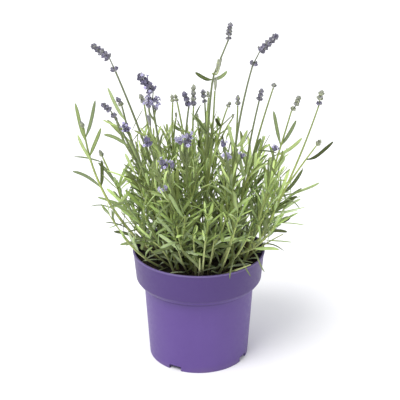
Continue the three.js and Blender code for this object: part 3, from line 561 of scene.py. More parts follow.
# ---- Stems: where they go ----
class Plant:
    """One stem with its spike, its side shoot and its leaves, as the CAD rule places them."""

    def __init__(self, node, name):
        base, through, neck, tip, self.whorls, self.radius, self.leafy, ripe = STEMS[name]
        self.node = node
        self.name = name
        self.base = vec(*base, SOIL_Z)
        self.through, self.neck, self.tip = (vec(*point) for point in (through, neck, tip))
        self.knee = vec(*KNEES[name]) if name in KNEES else None
        self.spike = vec(*DENSE_FROM[name]) if name in DENSE_FROM else None
        self.ripe = ripe if isinstance(ripe, tuple) else (ripe, ripe)
        self.open_share, self.petals = OPEN_FLORETS.get(name, (0, 1.0))
        self.draw = Draw(7001 + 613 * node)
        self.shoot = None
        self.leading = []
        self.leaves = []

    def place_stalk(self):
        head_points = [p for p in (self.neck, self.spike, self.tip) if p is not None]
        head = rods_along(self.node + len(STEMS), "head", head_points, lambda k: self.radius + HEAD_MARGIN)

        def attempt(i):
            bow = STEM_TRY["bow"] * sqrt(i) * heading(STEM_TRY["angle"] * i)
            if self.knee is None:
                path = Curve(self.base, self.through, self.neck, bow)
            else:
                path = Bent(Curve(self.base, self.through, self.knee, bow), self.neck)
            points = [path.at(t) for t in shares(STEM_STEPS, -ROOT_SHARE)]
            foot, thin = STEM_RADII
            radius = lambda k: foot - (foot - thin) * k / STEM_STEPS
            return path, rods_along(self.node, "stalk", points, radius)

        path = first_clear(STEM_TRIES, attempt, ignore_nothing)
        crowd.add(head)
        self.stalk = Stalk(path, STEM_STEPS, -ROOT_SHARE, STEM_RADII, self.draw(0, pi / 2))

    def place_shoot(self):
        start = self.stalk.path.at(self.draw(*SHOOT["from"]))
        lean = atan2(self.neck[1] - self.base[1], self.neck[0] - self.base[0])
        azimuth, reach, rise = (self.draw(*SHOOT[key]) for key in ("turn", "reach", "rise"))

        def attempt(i):
            out = heading(lean + azimuth + radians(SHOOT_TRY) * swing(i))
            end = start + out * reach + up(rise)
            shoot = Curve(start, start + out * reach * 0.6 + up(rise * 0.4), end)
            points = [shoot.at(t) for t in shares(SHOOT_STEPS, 0.12)]
            return shoot, rods_along(self.node, "shoot", points, lambda k: SHOOT_RADII[0])

        shoot = first_clear(SHOOT_TRIES, attempt, ignore_own)
        twist = self.draw(0, pi / 2)
        if shoot:
            self.shoot = Stalk(shoot, SHOOT_STEPS, 0, SHOOT_RADII, twist)

    def pair_shares(self):
        length = self.stalk.path.length()
        found = []
        d = FIRST_PAIR
        while d < length * self.leafy:
            found.append(d / length)
            d += PAIR_SPACING["first"] + PAIR_SPACING["growth"] * d
        return found


def place_leading(by_name):
    for name, *leaves in LEADING_LEAVES:
        plant = by_name[name]
        for share, tip, arch, broad in leaves:

            def make(i):
                moved = (tip[0], tip[1] + LEADING_TRY["depth"] * swing(i), tip[2])
                return leading_leaf(plant.stalk, share - LEADING_TRY["lower"] * i, moved, arch, broad)

            plant.leading.append((place_leaf(plant.node, LEAF_TRIES, make), tip[2] - SOIL_Z))


def place_plants():
    plants = [Plant(node, name) for node, name in enumerate(STEMS)]
    for plant in plants:
        plant.place_stalk()
    for plant in plants:
        plant.place_shoot()
    place_leading({plant.name: plant for plant in plants})
    for plant in plants:
        place_pairs(plant, plant.stalk, plant.pair_shares())
        if plant.shoot:
            place_pairs(plant, plant.shoot, SHOOT_LEAVES_AT)
    return plants


# ---- What grows between the CAD's leaves ----
def grown_habit(draw, azimuth, pitch, length, curl=GROWN["curl"], droop=GROWN["droop"]):
    return {
        "azimuth": azimuth,
        "pitch": radians(pitch),
        "length": length,
        "curl": draw(*curl),
        "droop": draw(*droop),
        "roll": draw(*GROWN["roll"]),
    }


def hangs_over_rim(leaf):
    x, y, z = leaf.at(1)
    beyond = hypot(x, y) - COLLAR_TOP[0] + OVER_RIM["inside"]
    return beyond > 0 and z < POT_HEIGHT + OVER_RIM["above"] + OVER_RIM["slope"] * beyond


def place_grown(node, grown):
    placed = []
    for stalk, t, habit, size in grown:
        make = lambda i: pair_leaf(stalk, t, varied(habit, i), size)
        leaf = place_leaf(node, GROWN["tries"], make, EXTRA_GAP)
        if leaf and not hangs_over_rim(leaf):
            placed.append((leaf, stalk.path.at(t)[2] - SOIL_Z))
    return placed


def grow_between(plant):
    """Smaller pairs half way between the CAD's pairs, and a tuft of small leaves above each pair."""
    draw = Draw(90001 + 71 * plant.node)
    stalk = plant.stalk
    pairs = plant.pair_shares()
    length = stalk.path.length()
    grown = []
    for k, t in enumerate(pairs):
        height = stalk.path.at(t)[2] - SOIL_Z
        following = pairs[k + 1] if k + 1 < len(pairs) else t + BETWEEN["last"] / length
        for side in (0, 1):
            azimuth = crosswise(draw, k + 0.5, side, BETWEEN["jitter"])
            pitch = draw(*BETWEEN["pitch"]) + BETWEEN["lower_pitch"] * lowness(height)
            habit = grown_habit(draw, azimuth, pitch, draw(*BETWEEN["length"]))
            grown.append((stalk, (t + following) / 2, habit, BETWEEN["size"]))
            for _ in range(TUFT["leaves"] if height < TUFT["below"] else 1):
                azimuth = crosswise(draw, k, side, TUFT["jitter"])
                habit = grown_habit(draw, azimuth, draw(*TUFT["pitch"]), draw(*TUFT["length"]))
                grown.append((stalk, t + draw(*TUFT["above"]) / length, habit, TUFT["size"]))
    for k, t in enumerate(ON_SHOOT["at"] if plant.shoot else ()):
        for side in (0, 1):
            azimuth = (k + ON_SHOOT["turn"]) * pi / 2 + side * pi
            habit = grown_habit(draw, azimuth, draw(*ON_SHOOT["pitch"]), draw(*ON_SHOOT["length"]))
            grown.append((plant.shoot, t, habit, TUFT["size"]))
    plant.grown = place_grown(plant.node, grown)


def grow_along(node, shoot, draw, along, pair, tuft):
    """Pairs along a shoot and a small tuft at its tip; pair(k, side, t) gives a leaf's habit and size."""
    length = shoot.path.length()
    grown = []
    d = along["first"]
    k = 0
    while d < length:
        grown += [(shoot, d / length, *pair(k, side, d / length)) for side in (0, 1)]
        d += draw(*along["spacing"])
        k += 1
    count, turn, pitch, long, curl, size = tuft
    for side in range(count):
        habit = grown_habit(draw, side * 2 * pi / count + turn, draw(*pitch), draw(*long), curl)
        grown.append((shoot, TUFT_AT, habit, size))
    return place_grown(node, grown)


def grow_side_shoots(plant):
    """Slim leafy shoots that leave a stem half way up and run up beside it."""
    draw = Draw(120011 + 53 * plant.node)
    plant.side_shoots = []
    plant.side_leaves = []

    def pair(k, side, t):
        azimuth = crosswise(draw, k, side, SIDE_LEAVES["jitter"])
        pitch = draw(*SIDE_LEAVES["pitch"])
        length = draw(*SIDE_LEAVES["length"]) * (1 - SIDE_LEAVES["taper"] * t)
        return grown_habit(draw, azimuth, pitch, length, SIDE_LEAVES["curl"]), SIDE_LEAVES["size"]

    for _ in range(0 if plant.name in BARE else SIDE_SHOOTS["each"]):
        t = draw(*SIDE_SHOOTS["from"]) * min(1, plant.leafy / 0.6)
        start = plant.stalk.path.at(t)
        upward = plant.stalk.path.tangent(t)
        azimuth = draw(0, 2 * pi)
        reach = draw(*SIDE_SHOOTS["reach"])
        rise = min(draw(*SIDE_SHOOTS["rise"]), SIDE_SHOOTS["top"] - start[2])
        if rise < SIDE_SHOOTS["least"]:
            continue

        def attempt(i):
            out = heading(azimuth + SIDE_SHOOTS["try"] * swing(i))
            through = start + upward * rise * 0.42 + out * reach * 0.8
            path = Curve(start, through, start + upward * rise + out * reach)
            rods = rods_along(plant.node, "side", [path.at(s) for s in shares(5, 0.06)], lambda k: 0.6)
            rods[0]["kind"] = "root"
            return path, rods

        path = first_clear(SIDE_SHOOTS["tries"], attempt, ignore_own_roots, EXTRA_GAP)
        if path:
            shoot = Stalk(path, 30, 0, SIDE_RADII, draw(0, pi / 2))
            plant.side_shoots.append(shoot)
            plant.side_leaves += grow_along(plant.node, shoot, draw, SIDE_LEAVES, pair, SIDE_TUFT)


class YoungShoot:
    """A leafy shoot without flowers, from the soil outwards and up to a tuft."""

    def __init__(self, k):
        self.node = 100 + k
        self.draw = Draw(50021 + 37 * k)
        self.angle = GOLDEN_ANGLE * k
        outer = YOUNG_SHOOTS - INNER_SHOOTS
        if k < outer:
            self.foot = YOUNG_REACH * sqrt((k + 0.5) / outer)
        else:
            self.foot = INNER_REACH * sqrt((k - outer + 0.5) / INNER_SHOOTS)
        self.stalk = None
        self.leaves = []

    def pair(self, k, side, t):
        draw = self.draw
        azimuth = crosswise(draw, k, side, YOUNG_LEAVES["jitter"])
        lean = YOUNG_LEAVES["inner_lean" if self.foot < YOUNG_LEAVES["inner"] else "lean"]
        pitch = draw(*YOUNG_LEAVES["pitch"]) + lean * (1 - t)
        size = (0.66 + 0.34 * sin(pi * min(t * 1.15, 1))) * draw(*YOUNG_LEAVES["vary"])
        length = draw(*YOUNG_LEAVES["length"]) * size
        return grown_habit(draw, azimuth, pitch, length, droop=YOUNG_LEAVES["droop"]), 0.56 + 0.32 * size

    def place(self):
        draw = self.draw
        reach = self.foot * draw(*YOUNG["reach"]) + draw(*YOUNG["beyond"])
        rise = draw(*YOUNG["rise"]) - YOUNG["lower"] * self.foot
        if self.node % 3 == 2 and self.foot > SHORT_FROM:
            rise *= SHORT

        def attempt(i):
            out = heading(self.angle + YOUNG["try"] * swing(i))
            base = out * self.foot + up(SOIL_Z - 2)
            through = out * (self.foot + reach * 0.55) + up(SOIL_Z + rise * 0.42)
            path = Curve(base, through, out * (self.foot + reach) + up(SOIL_Z + rise * (1 - 0.03 * i)))
            points = [path.at(t) for t in shares(4, max(0.08, 6 / rise))]
            return path, rods_along(self.node, "young", points, lambda k: 0.8)

        path = first_clear(YOUNG["tries"], attempt, ignore_nothing, EXTRA_GAP)
        if path:
            self.stalk = Stalk(path, 40, 0, YOUNG_RADII, draw(0, pi / 2))
            self.leaves = grow_along(self.node, self.stalk, draw, YOUNG_LEAVES, self.pair, YOUNG_TUFT)


def place_old_leaves(plants):
    """Last year's leaves low on the stems: long, greyer, spread out flat and hanging down at their tips."""
    draw = Draw(31337)
    old = OLD_LEAVES
    placed = []
    for k in range(old["count"]):
        plant = plants[k % len(plants)]
        t = draw(*old["root"]) / plant.stalk.path.length()
        azimuth, pitch, length = draw(0, 2 * pi), draw(*old["pitch"]), draw(*old["length"])
        habit = grown_habit(draw, azimuth, pitch, length, old["curl"], old["droop"])
        placed += place_grown(plant.node, [(plant.stalk, t, habit, draw(*old["size"]))])
    return placed


# ---- Mesh making ----
class Shape:
    """Collects closed lofts in mm and turns them into one object.

    Each point has a look of four numbers: along the part, across it, the part's own random tint, and its age.
    On a leaf the tint also holds painted shade, and on a stalk the number across is its painted light.
    """

    def __init__(self):
        self.points = []
        self.looks = []
        self.quads = []
        self.triangles = []
        self.quad_slots = []
        self.triangle_slots = []
        self.count = 0

    def loft(self, rings, along, across, tint, age, slot=0):
        """rings: stations x points x 3, anticlockwise seen from the last ring. Both ends are closed."""
        steps, around, _ = rings.shape
        parts = (np.asarray(along)[:, None], across, tint, age)
        looks = np.stack([np.broadcast_to(part, (steps, around)) for part in parts], -1)
        self.points += [rings.reshape(-1, 3), np.array([rings[0].mean(0), rings[-1].mean(0)])]
        self.looks += [looks.reshape(-1, 4), np.array([looks[0].mean(0), looks[-1].mean(0)])]
        k = np.arange(around)
        after = (k + 1) % around
        start = self.count + around * np.arange(steps - 1)[:, None]
        quads = np.stack([start + k, start + after, start + around + after, start + around + k], -1)
        quads = quads.reshape(-1, 4)
        last = self.count + around * (steps - 1)
        centre = np.full(around, self.count + around * steps)
        self.quads.append(quads)
        self.triangles.append(np.stack([centre, self.count + after, self.count + k], -1))
        self.triangles.append(np.stack([centre + 1, last + k, last + after], -1))
        self.quad_slots.append(np.full(len(quads), slot))
        self.triangle_slots.append(np.full(2 * around, slot))
        self.count += around * steps + 2

    def to_object(self, name, materials):
        quads = np.concatenate(self.quads)
        triangles = np.concatenate(self.triangles)
        corners = np.concatenate([quads.ravel(), triangles.ravel()])
        starts = np.concatenate([4 * np.arange(len(quads)), 4 * len(quads) + 3 * np.arange(len(triangles))])
        mesh = bpy.data.meshes.new(name)
        mesh.vertices.add(self.count)
        mesh.vertices.foreach_set("co", (np.concatenate(self.points) * MM).ravel())
        mesh.loops.add(len(corners))
        mesh.loops.foreach_set("vertex_index", corners.astype(np.int32))
        mesh.polygons.add(len(starts))
        mesh.polygons.foreach_set("loop_start", starts.astype(np.int32))
        slots = np.concatenate(self.quad_slots + self.triangle_slots)
        mesh.polygons.foreach_set("material_index", slots.astype(np.int32))
        mesh.polygons.foreach_set("use_smooth", np.ones(len(starts), bool))
        mesh.update(calc_edges=True)
        mesh.validate()
        look = mesh.attributes.new("look", "FLOAT_COLOR", "POINT")
        look.data.foreach_set("color", np.concatenate(self.looks).astype(np.float32).ravel())
        return object_of(mesh, name, materials)

    def to_piece(self, name, materials, slot, *nodes):
        finish_piece(self.to_object(name, materials), slot, *nodes)


def object_of(mesh, name, materials=()):
    made = bpy.data.objects.new(name, mesh)
    bpy.context.scene.collection.objects.link(made)
    for material in materials:
        mesh.materials.append(material)
    return made


def finish_piece(piece, slot, *nodes):
    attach(piece, "root")
    if nodes:
        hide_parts(*nodes)


# ---- Fine leaves ----
# A section in half widths, from the groove over the right edge to the keel and back over the left edge;
# each point's place across, 1 in the groove and -1 on the keel; and the stations along the leaf.
FULL_BLADE = (
    np.array([(0, -0.12), (0.5, 0.05), (0.96, -0.08), (0.8, -0.34), (0.3, -0.3),
              (0, -0.54), (-0.3, -0.3), (-0.8, -0.34), (-0.96, -0.08), (-0.5, 0.05)]),
    (1, 0.55, 0, -0.2, -0.6, -1, -0.6, -0.2, 0, 0.55),
    np.array([0, 0.07, 0.17, 0.3, 0.45, 0.6, 0.75, 0.87, 0.95, 0.985, 1]),
)
SMALL_BLADE = (
    np.array([(0, -0.08), (0.95, -0.04), (0.62, -0.34), (0, -0.5), (-0.62, -0.34), (-0.95, -0.04)]),
    (1, 0, -0.3, -1, -0.3, 0),
    np.array([0, 0.14, 0.36, 0.62, 0.84, 0.96, 1]),
)
WIDEST_FROM = 0.35
BLUNT_FROM = 0.7
ROOT_WIDTH = 0.36
PLAY = {"sway": 0.05, "curl": (-0.07, 0.04), "waves": (4, 7), "twist": 0.35, "large": 0.4}
PAINTED_SHADE_DARKEST = 0.16  # painted shade: how light a leaf deep inside is coloured beside one in the open
HOOK = {"lift": (1.5, 1.5, 5), "size": 0.5, "shade": 0.35}
AGE = {"at_soil": 0.06, "rise": 150, "vary": 0.2, "oldest": 0.78}


def leaf_width(s):
    rise = np.clip(s / WIDEST_FROM, 0, 1)
    body = ROOT_WIDTH + (1 - ROOT_WIDTH) * rise * rise * (3 - 2 * rise)
    toward_tip = np.clip((s - BLUNT_FROM) / (1 - BLUNT_FROM), 0, 1)
    return body * np.maximum(1 - toward_tip**2.4, 0.004) ** 0.55


def painted_crown_light(place):
    """How much painted light a place in the foliage gets: 0 deep inside, 1 at the outside."""
    height = place[2] - SOIL_Z
    reach = hypot(place[0], place[1]) / (PAINTED_CROWN_SHADE["reach"] + PAINTED_CROWN_SHADE["spread"] * max(height, 0))
    return smooth((max(reach, height / PAINTED_CROWN_SHADE["height"]) - PAINTED_CROWN_SHADE["from"]) / PAINTED_CROWN_SHADE["over"])


def fine_leaf(shape, leaf, age, draw, blade=SMALL_BLADE, slot=0):
    section, across, steps = blade
    s = steps[:, None]
    supple = leaf.length * (1 if leaf.size < 1 else PLAY["large"])
    sway = draw(-PLAY["sway"], PLAY["sway"]) * supple
    curl = draw(*PLAY["curl"]) * supple
    lift = unit(np.cross(leaf.wide, leaf.at(1) - leaf.at(0)))
    middle = leaf.middle(s) + leaf.wide * np.sin(s * draw(*PLAY["waves"])) * sway + lift * s * s * curl
    tangent = normalized(np.gradient(middle, steps, axis=0))
    wide = normalized(leaf.wide - tangent * (tangent @ leaf.wide)[:, None])
    upper = np.cross(wide, tangent)
    twist = draw(-PLAY["twist"], PLAY["twist"]) * s
    wide, upper = wide * np.cos(twist) + upper * np.sin(twist), upper * np.cos(twist) - wide * np.sin(twist)
    width = LEAF_HALF_WIDTH * leaf.size * leaf_width(steps)[:, None, None]
    x = section[None, :, 0, None] * width
    y = section[None, :, 1, None] * width
    rings = middle[:, None] + x * wide[:, None] + y * upper[:, None]
    # Painted shade: the leaf's tint is darker deep in the crown, and darker still for a hooked leaf.
    painted_light = painted_crown_light(middle[len(middle) // 2])
    tint = draw(0, 1) ** 1.1 * (PAINTED_SHADE_DARKEST + (1 - PAINTED_SHADE_DARKEST) * painted_light) * leaf.shade
    shape.loft(rings, steps, across, tint, age, slot)


def hook(leaf):
    """Makes a leaf that hangs over the rim slim, with its tip curled up, and coloured darker as painted
    shade.
    """
    straight = leaf.at
    leaf.at = lambda s: straight(s) + vec(*HOOK["lift"]) * s**4
    leaf.size = HOOK["size"]
    leaf.shade = HOOK["shade"]


def leaf_age(height, draw):
    """From 0 for the grey leaves by the soil to 0.78 for the yellow-green ones above; 1 is dark olive."""
    vary = draw(-AGE["vary"], AGE["vary"])
    return min(max(AGE["at_soil"] + height / AGE["rise"] + vary, 0), AGE["oldest"])


# ---- Fine stalks ----
STALK_SIDES = 8
CORNER_RADII = np.where(np.arange(STALK_SIDES) % 2 == 1, 1.1, 0.92)
NODE_SWELLING = 0.22
NODE_LENGTH = 1.6


def ring_at(centre, axes, radii, angles):
    return centre + np.outer(radii * np.cos(angles), axes[0]) + np.outer(radii * np.sin(angles), axes[1])


def fine_stalk(shape, stalk, steps, draw, nodes=(), slot=1, old=0.0):
    length = stalk.path.length()
    ts = np.array(sorted(set(shares(steps, stalk.start)) | set(nodes)))
    tint = draw(0, 1)
    centres = [stalk.path.at(t) for t in ts]
    rings = []
    for t, centre in zip(ts, centres):
        swelling = min(sum(exp(-(((t - node) * length / NODE_LENGTH) ** 2)) for node in nodes), 1)
        radii = stalk.radius(t) * (1 + NODE_SWELLING * swelling) * CORNER_RADII
        rings.append(ring_at(centre, frame_at(stalk.path.tangent(t), stalk.twist), radii, turns(STALK_SIDES)))
    heights = np.array([centre[2] - SOIL_Z for centre in centres])
    # Painted shade: each ring carries how deep in the crown it is, and the stalk is coloured darker there.
    painted_light = np.array([painted_crown_light(centre) for centre in centres])[:, None]
    shape.loft(np.array(rings), heights / 200, painted_light, tint, old, slot)


# ---- Fine flower spikes ----
CALYX_HEIGHTS, CALYX_RADII = np.array([(0, 0.3), (0.12, 0.62), (0.34, 0.94), (0.62, 1.0), (0.82, 0.9),
                                       (0.94, 0.66), (1, 0.3)]).T
CALYX_RIBS = 12
RIB_DEPTH = 0.07
CALYX_ROWS = ((7, 1.02, 0.64), (6, 0.64, 1.02))  # count, reach in radii, rise in pitches
OPPOSITE_ROWS = ((6, 1.08, 0.66), (6, 0.75, 1.1))
OPPOSITE_SPREAD = 0.62
CALYX_THICKNESS = (0.58, 0.115)  # mm, and the share of the whorl's radius that adds to it
FLORET_SIDES = 20
# height, radius and depth of the five lobes, from the calyx up the outside and back down the throat
FLORET_PROFILE = ((-0.6, 0.42, 0), (1.1, 0.5, 0), (1.9, 0.72, 0.4), (2.3, 0.85, 1.0), (2.5, 0.8, 1.05),
                  (2.2, 0.62, 0.45), (1.4, 0.3, 0))
TIP_TAPER = 0.3
LOWER_WHORL = {"size": 0.85, "pitch": 4.0, "share": 0.6}
SLIM_RADII = (0.95, 0.75)
SLIM_CALYCES = 9
SLIM_TURN = 2.4  # from each calyx to the next
CALYX, COROLLA, BRACT, AXIS = range(4)


def turned_rings(foot, axis, heights, radii, angles):
    """Rings round an axis: heights has one number a ring, radii one a ring and point."""
    u, v = frame_at(axis)
    spokes = np.outer(np.cos(angles), u) + np.outer(np.sin(angles), v)
    return foot + heights[:, None, None] * axis + radii[:, :, None] * spokes


def calyx(shape, foot, head, radius, ripe, draw):
    ribs = RIB_DEPTH * np.where(np.arange(CALYX_RIBS) % 2 == 0, 1, -1)
    heights = CALYX_HEIGHTS * np.linalg.norm(head - foot)
    radii = radius * CALYX_RADII[:, None] * (1 + ribs)[None, :]
    rings = turned_rings(foot, unit(head - foot), heights, radii, turns(CALYX_RIBS))
    shape.loft(rings, CALYX_HEIGHTS, ribs, draw(0, 1), ripe, CALYX)


def floret(shape, foot, axis, size, draw):
    angles = turns(FLORET_SIDES)
    lobes = np.abs(np.cos(2.5 * angles + draw(0, 3))) ** 0.7
    heights, radii, depths = (np.array(FLORET_PROFILE) * size).T
    rings = turned_rings(foot, axis, heights, radii[:, None] + depths[:, None] * lobes[None, :], angles)
    shape.loft(rings, np.linspace(0, 1, len(heights)), lobes, draw(0, 1), 1.0, COROLLA)


def calyx_radius(radius):
    return CALYX_THICKNESS[0] + CALYX_THICKNESS[1] * radius


@dataclass
class Whorl:
    """A ring of calyces round a point of a spike's axis."""

    plant: Plant
    centre: np.ndarray
    axis: np.ndarray
    radius: float
    pitch: float
    ripe: float
    open_share: float

    def all_round(self, shape, phase, draw):
        axes = frame_at(self.axis)
        for row, (count, reach, rise) in enumerate(CALYX_ROWS):
            for k in range(count):
                angle = 2 * pi * (k + 0.5 * (phase + row)) / count + draw(-0.2, 0.2)
                self.calyx(shape, spoke(axes, angle), reach, rise, draw)
        for k in range(3):
            self.bract(shape, spoke(axes, 2 * pi * k / 3 + phase), draw)

    def opposite(self, shape, draw):
        """The whorl that stands apart: two clusters on opposite sides of the stem."""
        u = unit(np.cross(self.axis, (0, -1, 0)))
        v = np.cross(self.axis, u)
        for count, reach, rise in OPPOSITE_ROWS:
            for k in range(count):
                spread = (k // 2 - (count / 2 - 1) / 2) * OPPOSITE_SPREAD
                self.calyx(shape, spoke((u, v), pi * (k % 2) + spread + draw(-0.12, 0.12)), reach, rise, draw)
        for side in (-1, 1):
            self.bract(shape, side * u, draw)

    def calyx(self, shape, out, reach, rise, draw):
        foot = self.centre + out * 0.2 * self.radius + self.axis * 0.06 * self.pitch
        beside = self.centre + out * self.radius * reach * draw(0.86, 1.04)
        head = beside + self.axis * self.pitch * rise * draw(0.88, 1.1)
        ripe = min(max(self.ripe + draw(-0.2, 0.2), 0), 1)
        calyx(shape, foot, head, calyx_radius(self.radius) * draw(0.86, 1.1), ripe, draw)
        if draw(0, 1) < self.open_share:
            floret(shape, head, unit(head - foot), self.plant.petals * draw(0.7, 1.05), draw)

    def bract(self, shape, out, draw):
        foot = self.centre + out * 0.15 * self.radius
        head = self.centre + out * 0.85 * self.radius + self.axis * 0.45 * self.pitch
        wide = unit(np.cross(self.axis, out))
        leaf = Leaf(lambda s: foot + (head - foot) * s, wide, self.radius, up(0), 0.5)
        fine_leaf(shape, leaf, 0.8, draw, slot=BRACT)


def fine_spike(plant):
    shape = Shape()
    draw = Draw(777 + 17 * plant.node)
    neck = plant.neck + plant.stalk.path.tangent(1) * CLEARANCE
    start = neck if plant.spike is None else plant.spike
    axis = unit(plant.tip - start)
    pitch = np.linalg.norm(plant.tip - start) / (plant.whorls + 0.35)
    low, high = plant.ripe
    top = plant.tip - axis * 1.2
    rachis(shape, [neck, top] if plant.spike is None else [neck, start, top], draw)
    if plant.spike is not None:
        stretch = plant.spike - neck
        apart = min(LOWER_WHORL["pitch"], np.linalg.norm(stretch) * LOWER_WHORL["share"])
        open_share = LOWER_OPEN.get(plant.name, plant.open_share)
        lower = Whorl(plant, neck, unit(stretch), plant.radius * LOWER_WHORL["size"], apart, low, open_share)
        lower.opposite(shape, draw)
        low = high
    for w in range(plant.whorls):
        radius = plant.radius * (1 - TIP_TAPER * w / max(plant.whorls, 2))
        ripe = low + (high - low) * w / max(plant.whorls - 1, 1)
        whorl = Whorl(plant, start + axis * pitch * w, axis, radius, pitch, ripe, plant.open_share)
        whorl.all_round(shape, w, draw)
    axes = frame_at(axis)
    for k in range(4):
        out = spoke(axes, pi * k / 2)
        foot = plant.tip - axis * pitch * 0.8 + out * 0.2
        head = plant.tip + out * plant.radius * 0.2 - axis * draw(0.1, 0.9)
        calyx(shape, foot, head, calyx_radius(plant.radius) * 0.75, high, draw)
    return shape


def rachis(shape, points, draw):
    """The stalk inside a spike."""
    rings = []
    for k, point in enumerate(points):
        tangent = unit(points[min(k + 1, len(points) - 1)] - points[max(k - 1, 0)])
        radii = np.full(6, STEM_RADII[1] * (0.95 - 0.2 * k))
        rings.append(ring_at(point, frame_at(tangent), radii, turns(6)))
    shape.loft(np.array(rings), np.full(len(points), 1.2), 1.0, draw(0, 1), 1.0, AXIS)


def make_slim_buds(plants, materials):
    by_name = {plant.name: plant for plant in plants}
    shape = Shape()
    draw = Draw(90210)
    for name, share, through, tip, ripe, length, radius, open_share in SLIM_BUDS:
        start = by_name[name].stalk.path.at(share)
        tip = vec(*tip)
        axis = unit(unit(tip - start) + up(0.6)) if through is None else unit(tip - vec(*through))
        foot = tip - axis * length
        apart = unit(np.cross(tip - start, (0, 1, 0))) * draw(1.2, 2.4)
        path = Curve(start, (start + foot) / 2 + apart if through is None else vec(*through), foot)
        fine_stalk(shape, Stalk(path, 20, 0, SLIM_RADII, 0), 16, draw, slot=AXIS, old=ripe)
        axes = frame_at(axis)
        for k in range(SLIM_CALYCES):
            out = spoke(axes, k * SLIM_TURN)
            calyx_foot = foot + out * 0.2 * radius + axis * length * 0.055 * k
            calyx_head = calyx_foot + axis * length * 0.52 + out * radius * 0.6
            calyx(shape, calyx_foot, calyx_head, 0.52 * radius, ripe, draw)
            if draw(0, 1) < open_share:
                floret(shape, calyx_head, unit(out + 0.8 * axis), draw(0.9, 1.3), draw)
    shape.to_piece("slim_buds", materials, "flower")


# ---- Pot ----
POT_SIDES = 176
ARC_STEPS = 7
FINE_SPACING = 6.0  # mm between the rings of a long straight wall
NOTCH_FILLET = 0.9
SHARP = radians(40)


def rounded(corners):
    """The corners (radius, height, fillet) as a line of points, each corner turned into an arc."""
    points = []
    for k, (x, z, fillet) in enumerate(corners):
        here = vec(x, z)
        if fillet == 0:
            points.append(here)
            continue
        before = unit(vec(*corners[k - 1][:2]) - here)
        after = unit(vec(*corners[k + 1][:2]) - here)
        reach = fillet / tan(acos(np.clip(before @ after, -1, 1)) / 2)
        a = here + before * reach
        b = here + after * reach
        for s in np.linspace(0, 1, ARC_STEPS):
            points.append((1 - s) ** 2 * a + 2 * s * (1 - s) * here + s * s * b)
    return points


def subdivided(points, spacing):
    out = [points[0]]
    for q in points[1:]:
        p = out[-1]
        steps = max(1, round(np.linalg.norm(q - p) / spacing))
        out += [p + (q - p) * k / steps for k in range(1, steps + 1)]
    return out


def pot_profile():
    """From the axis under the floor, out, up the wall, over the lip, and down the inside to the axis."""
    return rounded([
        (0, 0, 0),
        (CENTRE_FOOT_RADIUS - 1, 0, 0.8),
        (CENTRE_FOOT_RADIUS, FLOOR_Z, 0.8),
        (FOOT_RADIUS - FOOT_RING, FLOOR_Z, 0.5),
        (FOOT_RADIUS - FOOT_RING + 0.4, 0, 0.4),
        (FOOT_RADIUS, 0, 0.6),
        (*WAIST, 1.2),
        (WAIST[0] + 4.4, WAIST[1] + 1.8, 2.6),
        (COLLAR_BOTTOM[0], COLLAR_BOTTOM[1] - 0.6, 3.2),
        (*COLLAR_TOP, 0.3),
        (LIP_RADIUS, COLLAR_TOP[1] + 0.5, 0.25),
        (LIP_RADIUS, POT_HEIGHT, 0.6),
        (COLLAR_TOP[0] - WALL, POT_HEIGHT, 0.6),
        (COLLAR_BOTTOM[0] - WALL, COLLAR_BOTTOM[1], 2.0),
        (WAIST[0] - WALL + 3.6, WAIST[1] + 3.6, 2.0),
        (WAIST[0] - WALL, WAIST[1], 1.5),
        (FOOT_RADIUS - WALL, FLOOR_Z + WALL, 1.2),
        (0, FLOOR_Z + WALL, 0),
    ])


def turned_pot():
    """The pot before its notches, as one loft of rings whose two ends close on the axis."""
    profile = np.array(subdivided(pot_profile(), FINE_SPACING))
    radii, heights = profile[1:-1].T
    angles = turns(POT_SIDES)
    x = radii[:, None] * np.cos(angles)
    y = radii[:, None] * np.sin(angles)
    shape = Shape()
    rings = np.stack([x, y, np.repeat(heights[:, None], POT_SIDES, 1)], -1)
    shape.loft(rings, heights / POT_HEIGHT, 0.0, 0.5, 0.5)
    shape.points[-1] = np.array([(0, 0, profile[0][1]), (0, 0, profile[-1][1])])
    return shape.to_object("pot_fine", [pot_plastic()])


def notch_outline():
    """A rectangle from below the table up to the notch's height, with its two upper corners rounded."""
    half = NOTCH["width"] / 2
    top = NOTCH["height"] - NOTCH_FILLET
    outline = [(-half, -2.0), (half, -2.0)]
    for x, first in ((half - NOTCH_FILLET, 0), (NOTCH_FILLET - half, 90)):
        for angle in np.radians(first + 22.5 * np.arange(5)):
            outline.append((x + NOTCH_FILLET * cos(angle), top + NOTCH_FILLET * sin(angle)))
    return outline


def notch_cutter(k):
    corners = notch_outline()
    count = len(corners)
    out = heading(radians(NOTCH["first"] + 360 / NOTCH["count"] * k))
    aside = vec(-out[1], out[0], 0)
    depths = (NOTCH["inner"], FOOT_RADIUS + 4)
    points = [out * x + aside * y + up(z) for x in depths for y, z in corners]
    faces = [tuple(reversed(range(count))), tuple(range(count, 2 * count))]
    faces += [(i, (i + 1) % count, count + (i + 1) % count, count + i) for i in range(count)]
    mesh = bpy.data.meshes.new("notch")
    mesh.from_pydata((np.array(points) * MM).tolist(), [], faces)
    return object_of(mesh, "notch")


def make_pot():
    pot = turned_pot()
    cutters = [notch_cutter(k) for k in range(NOTCH["count"])]
    for cutter in cutters:
        cut = pot.modifiers.new("notch", "BOOLEAN")
        cut.object = cutter
        cut.operation = "DIFFERENCE"
        cut.solver = "EXACT"
    evaluated = pot.evaluated_get(bpy.context.evaluated_depsgraph_get())
    mesh = bpy.data.meshes.new_from_object(evaluated)
    pot.modifiers.clear()
    pot.data = mesh
    for cutter in cutters:
        bpy.data.objects.remove(cutter)
    mesh.polygons.foreach_set("use_smooth", np.ones(len(mesh.polygons), bool))
    mesh.set_sharp_from_angle(angle=SHARP)
    finish_piece(pot, "pot_plastic", "pot")


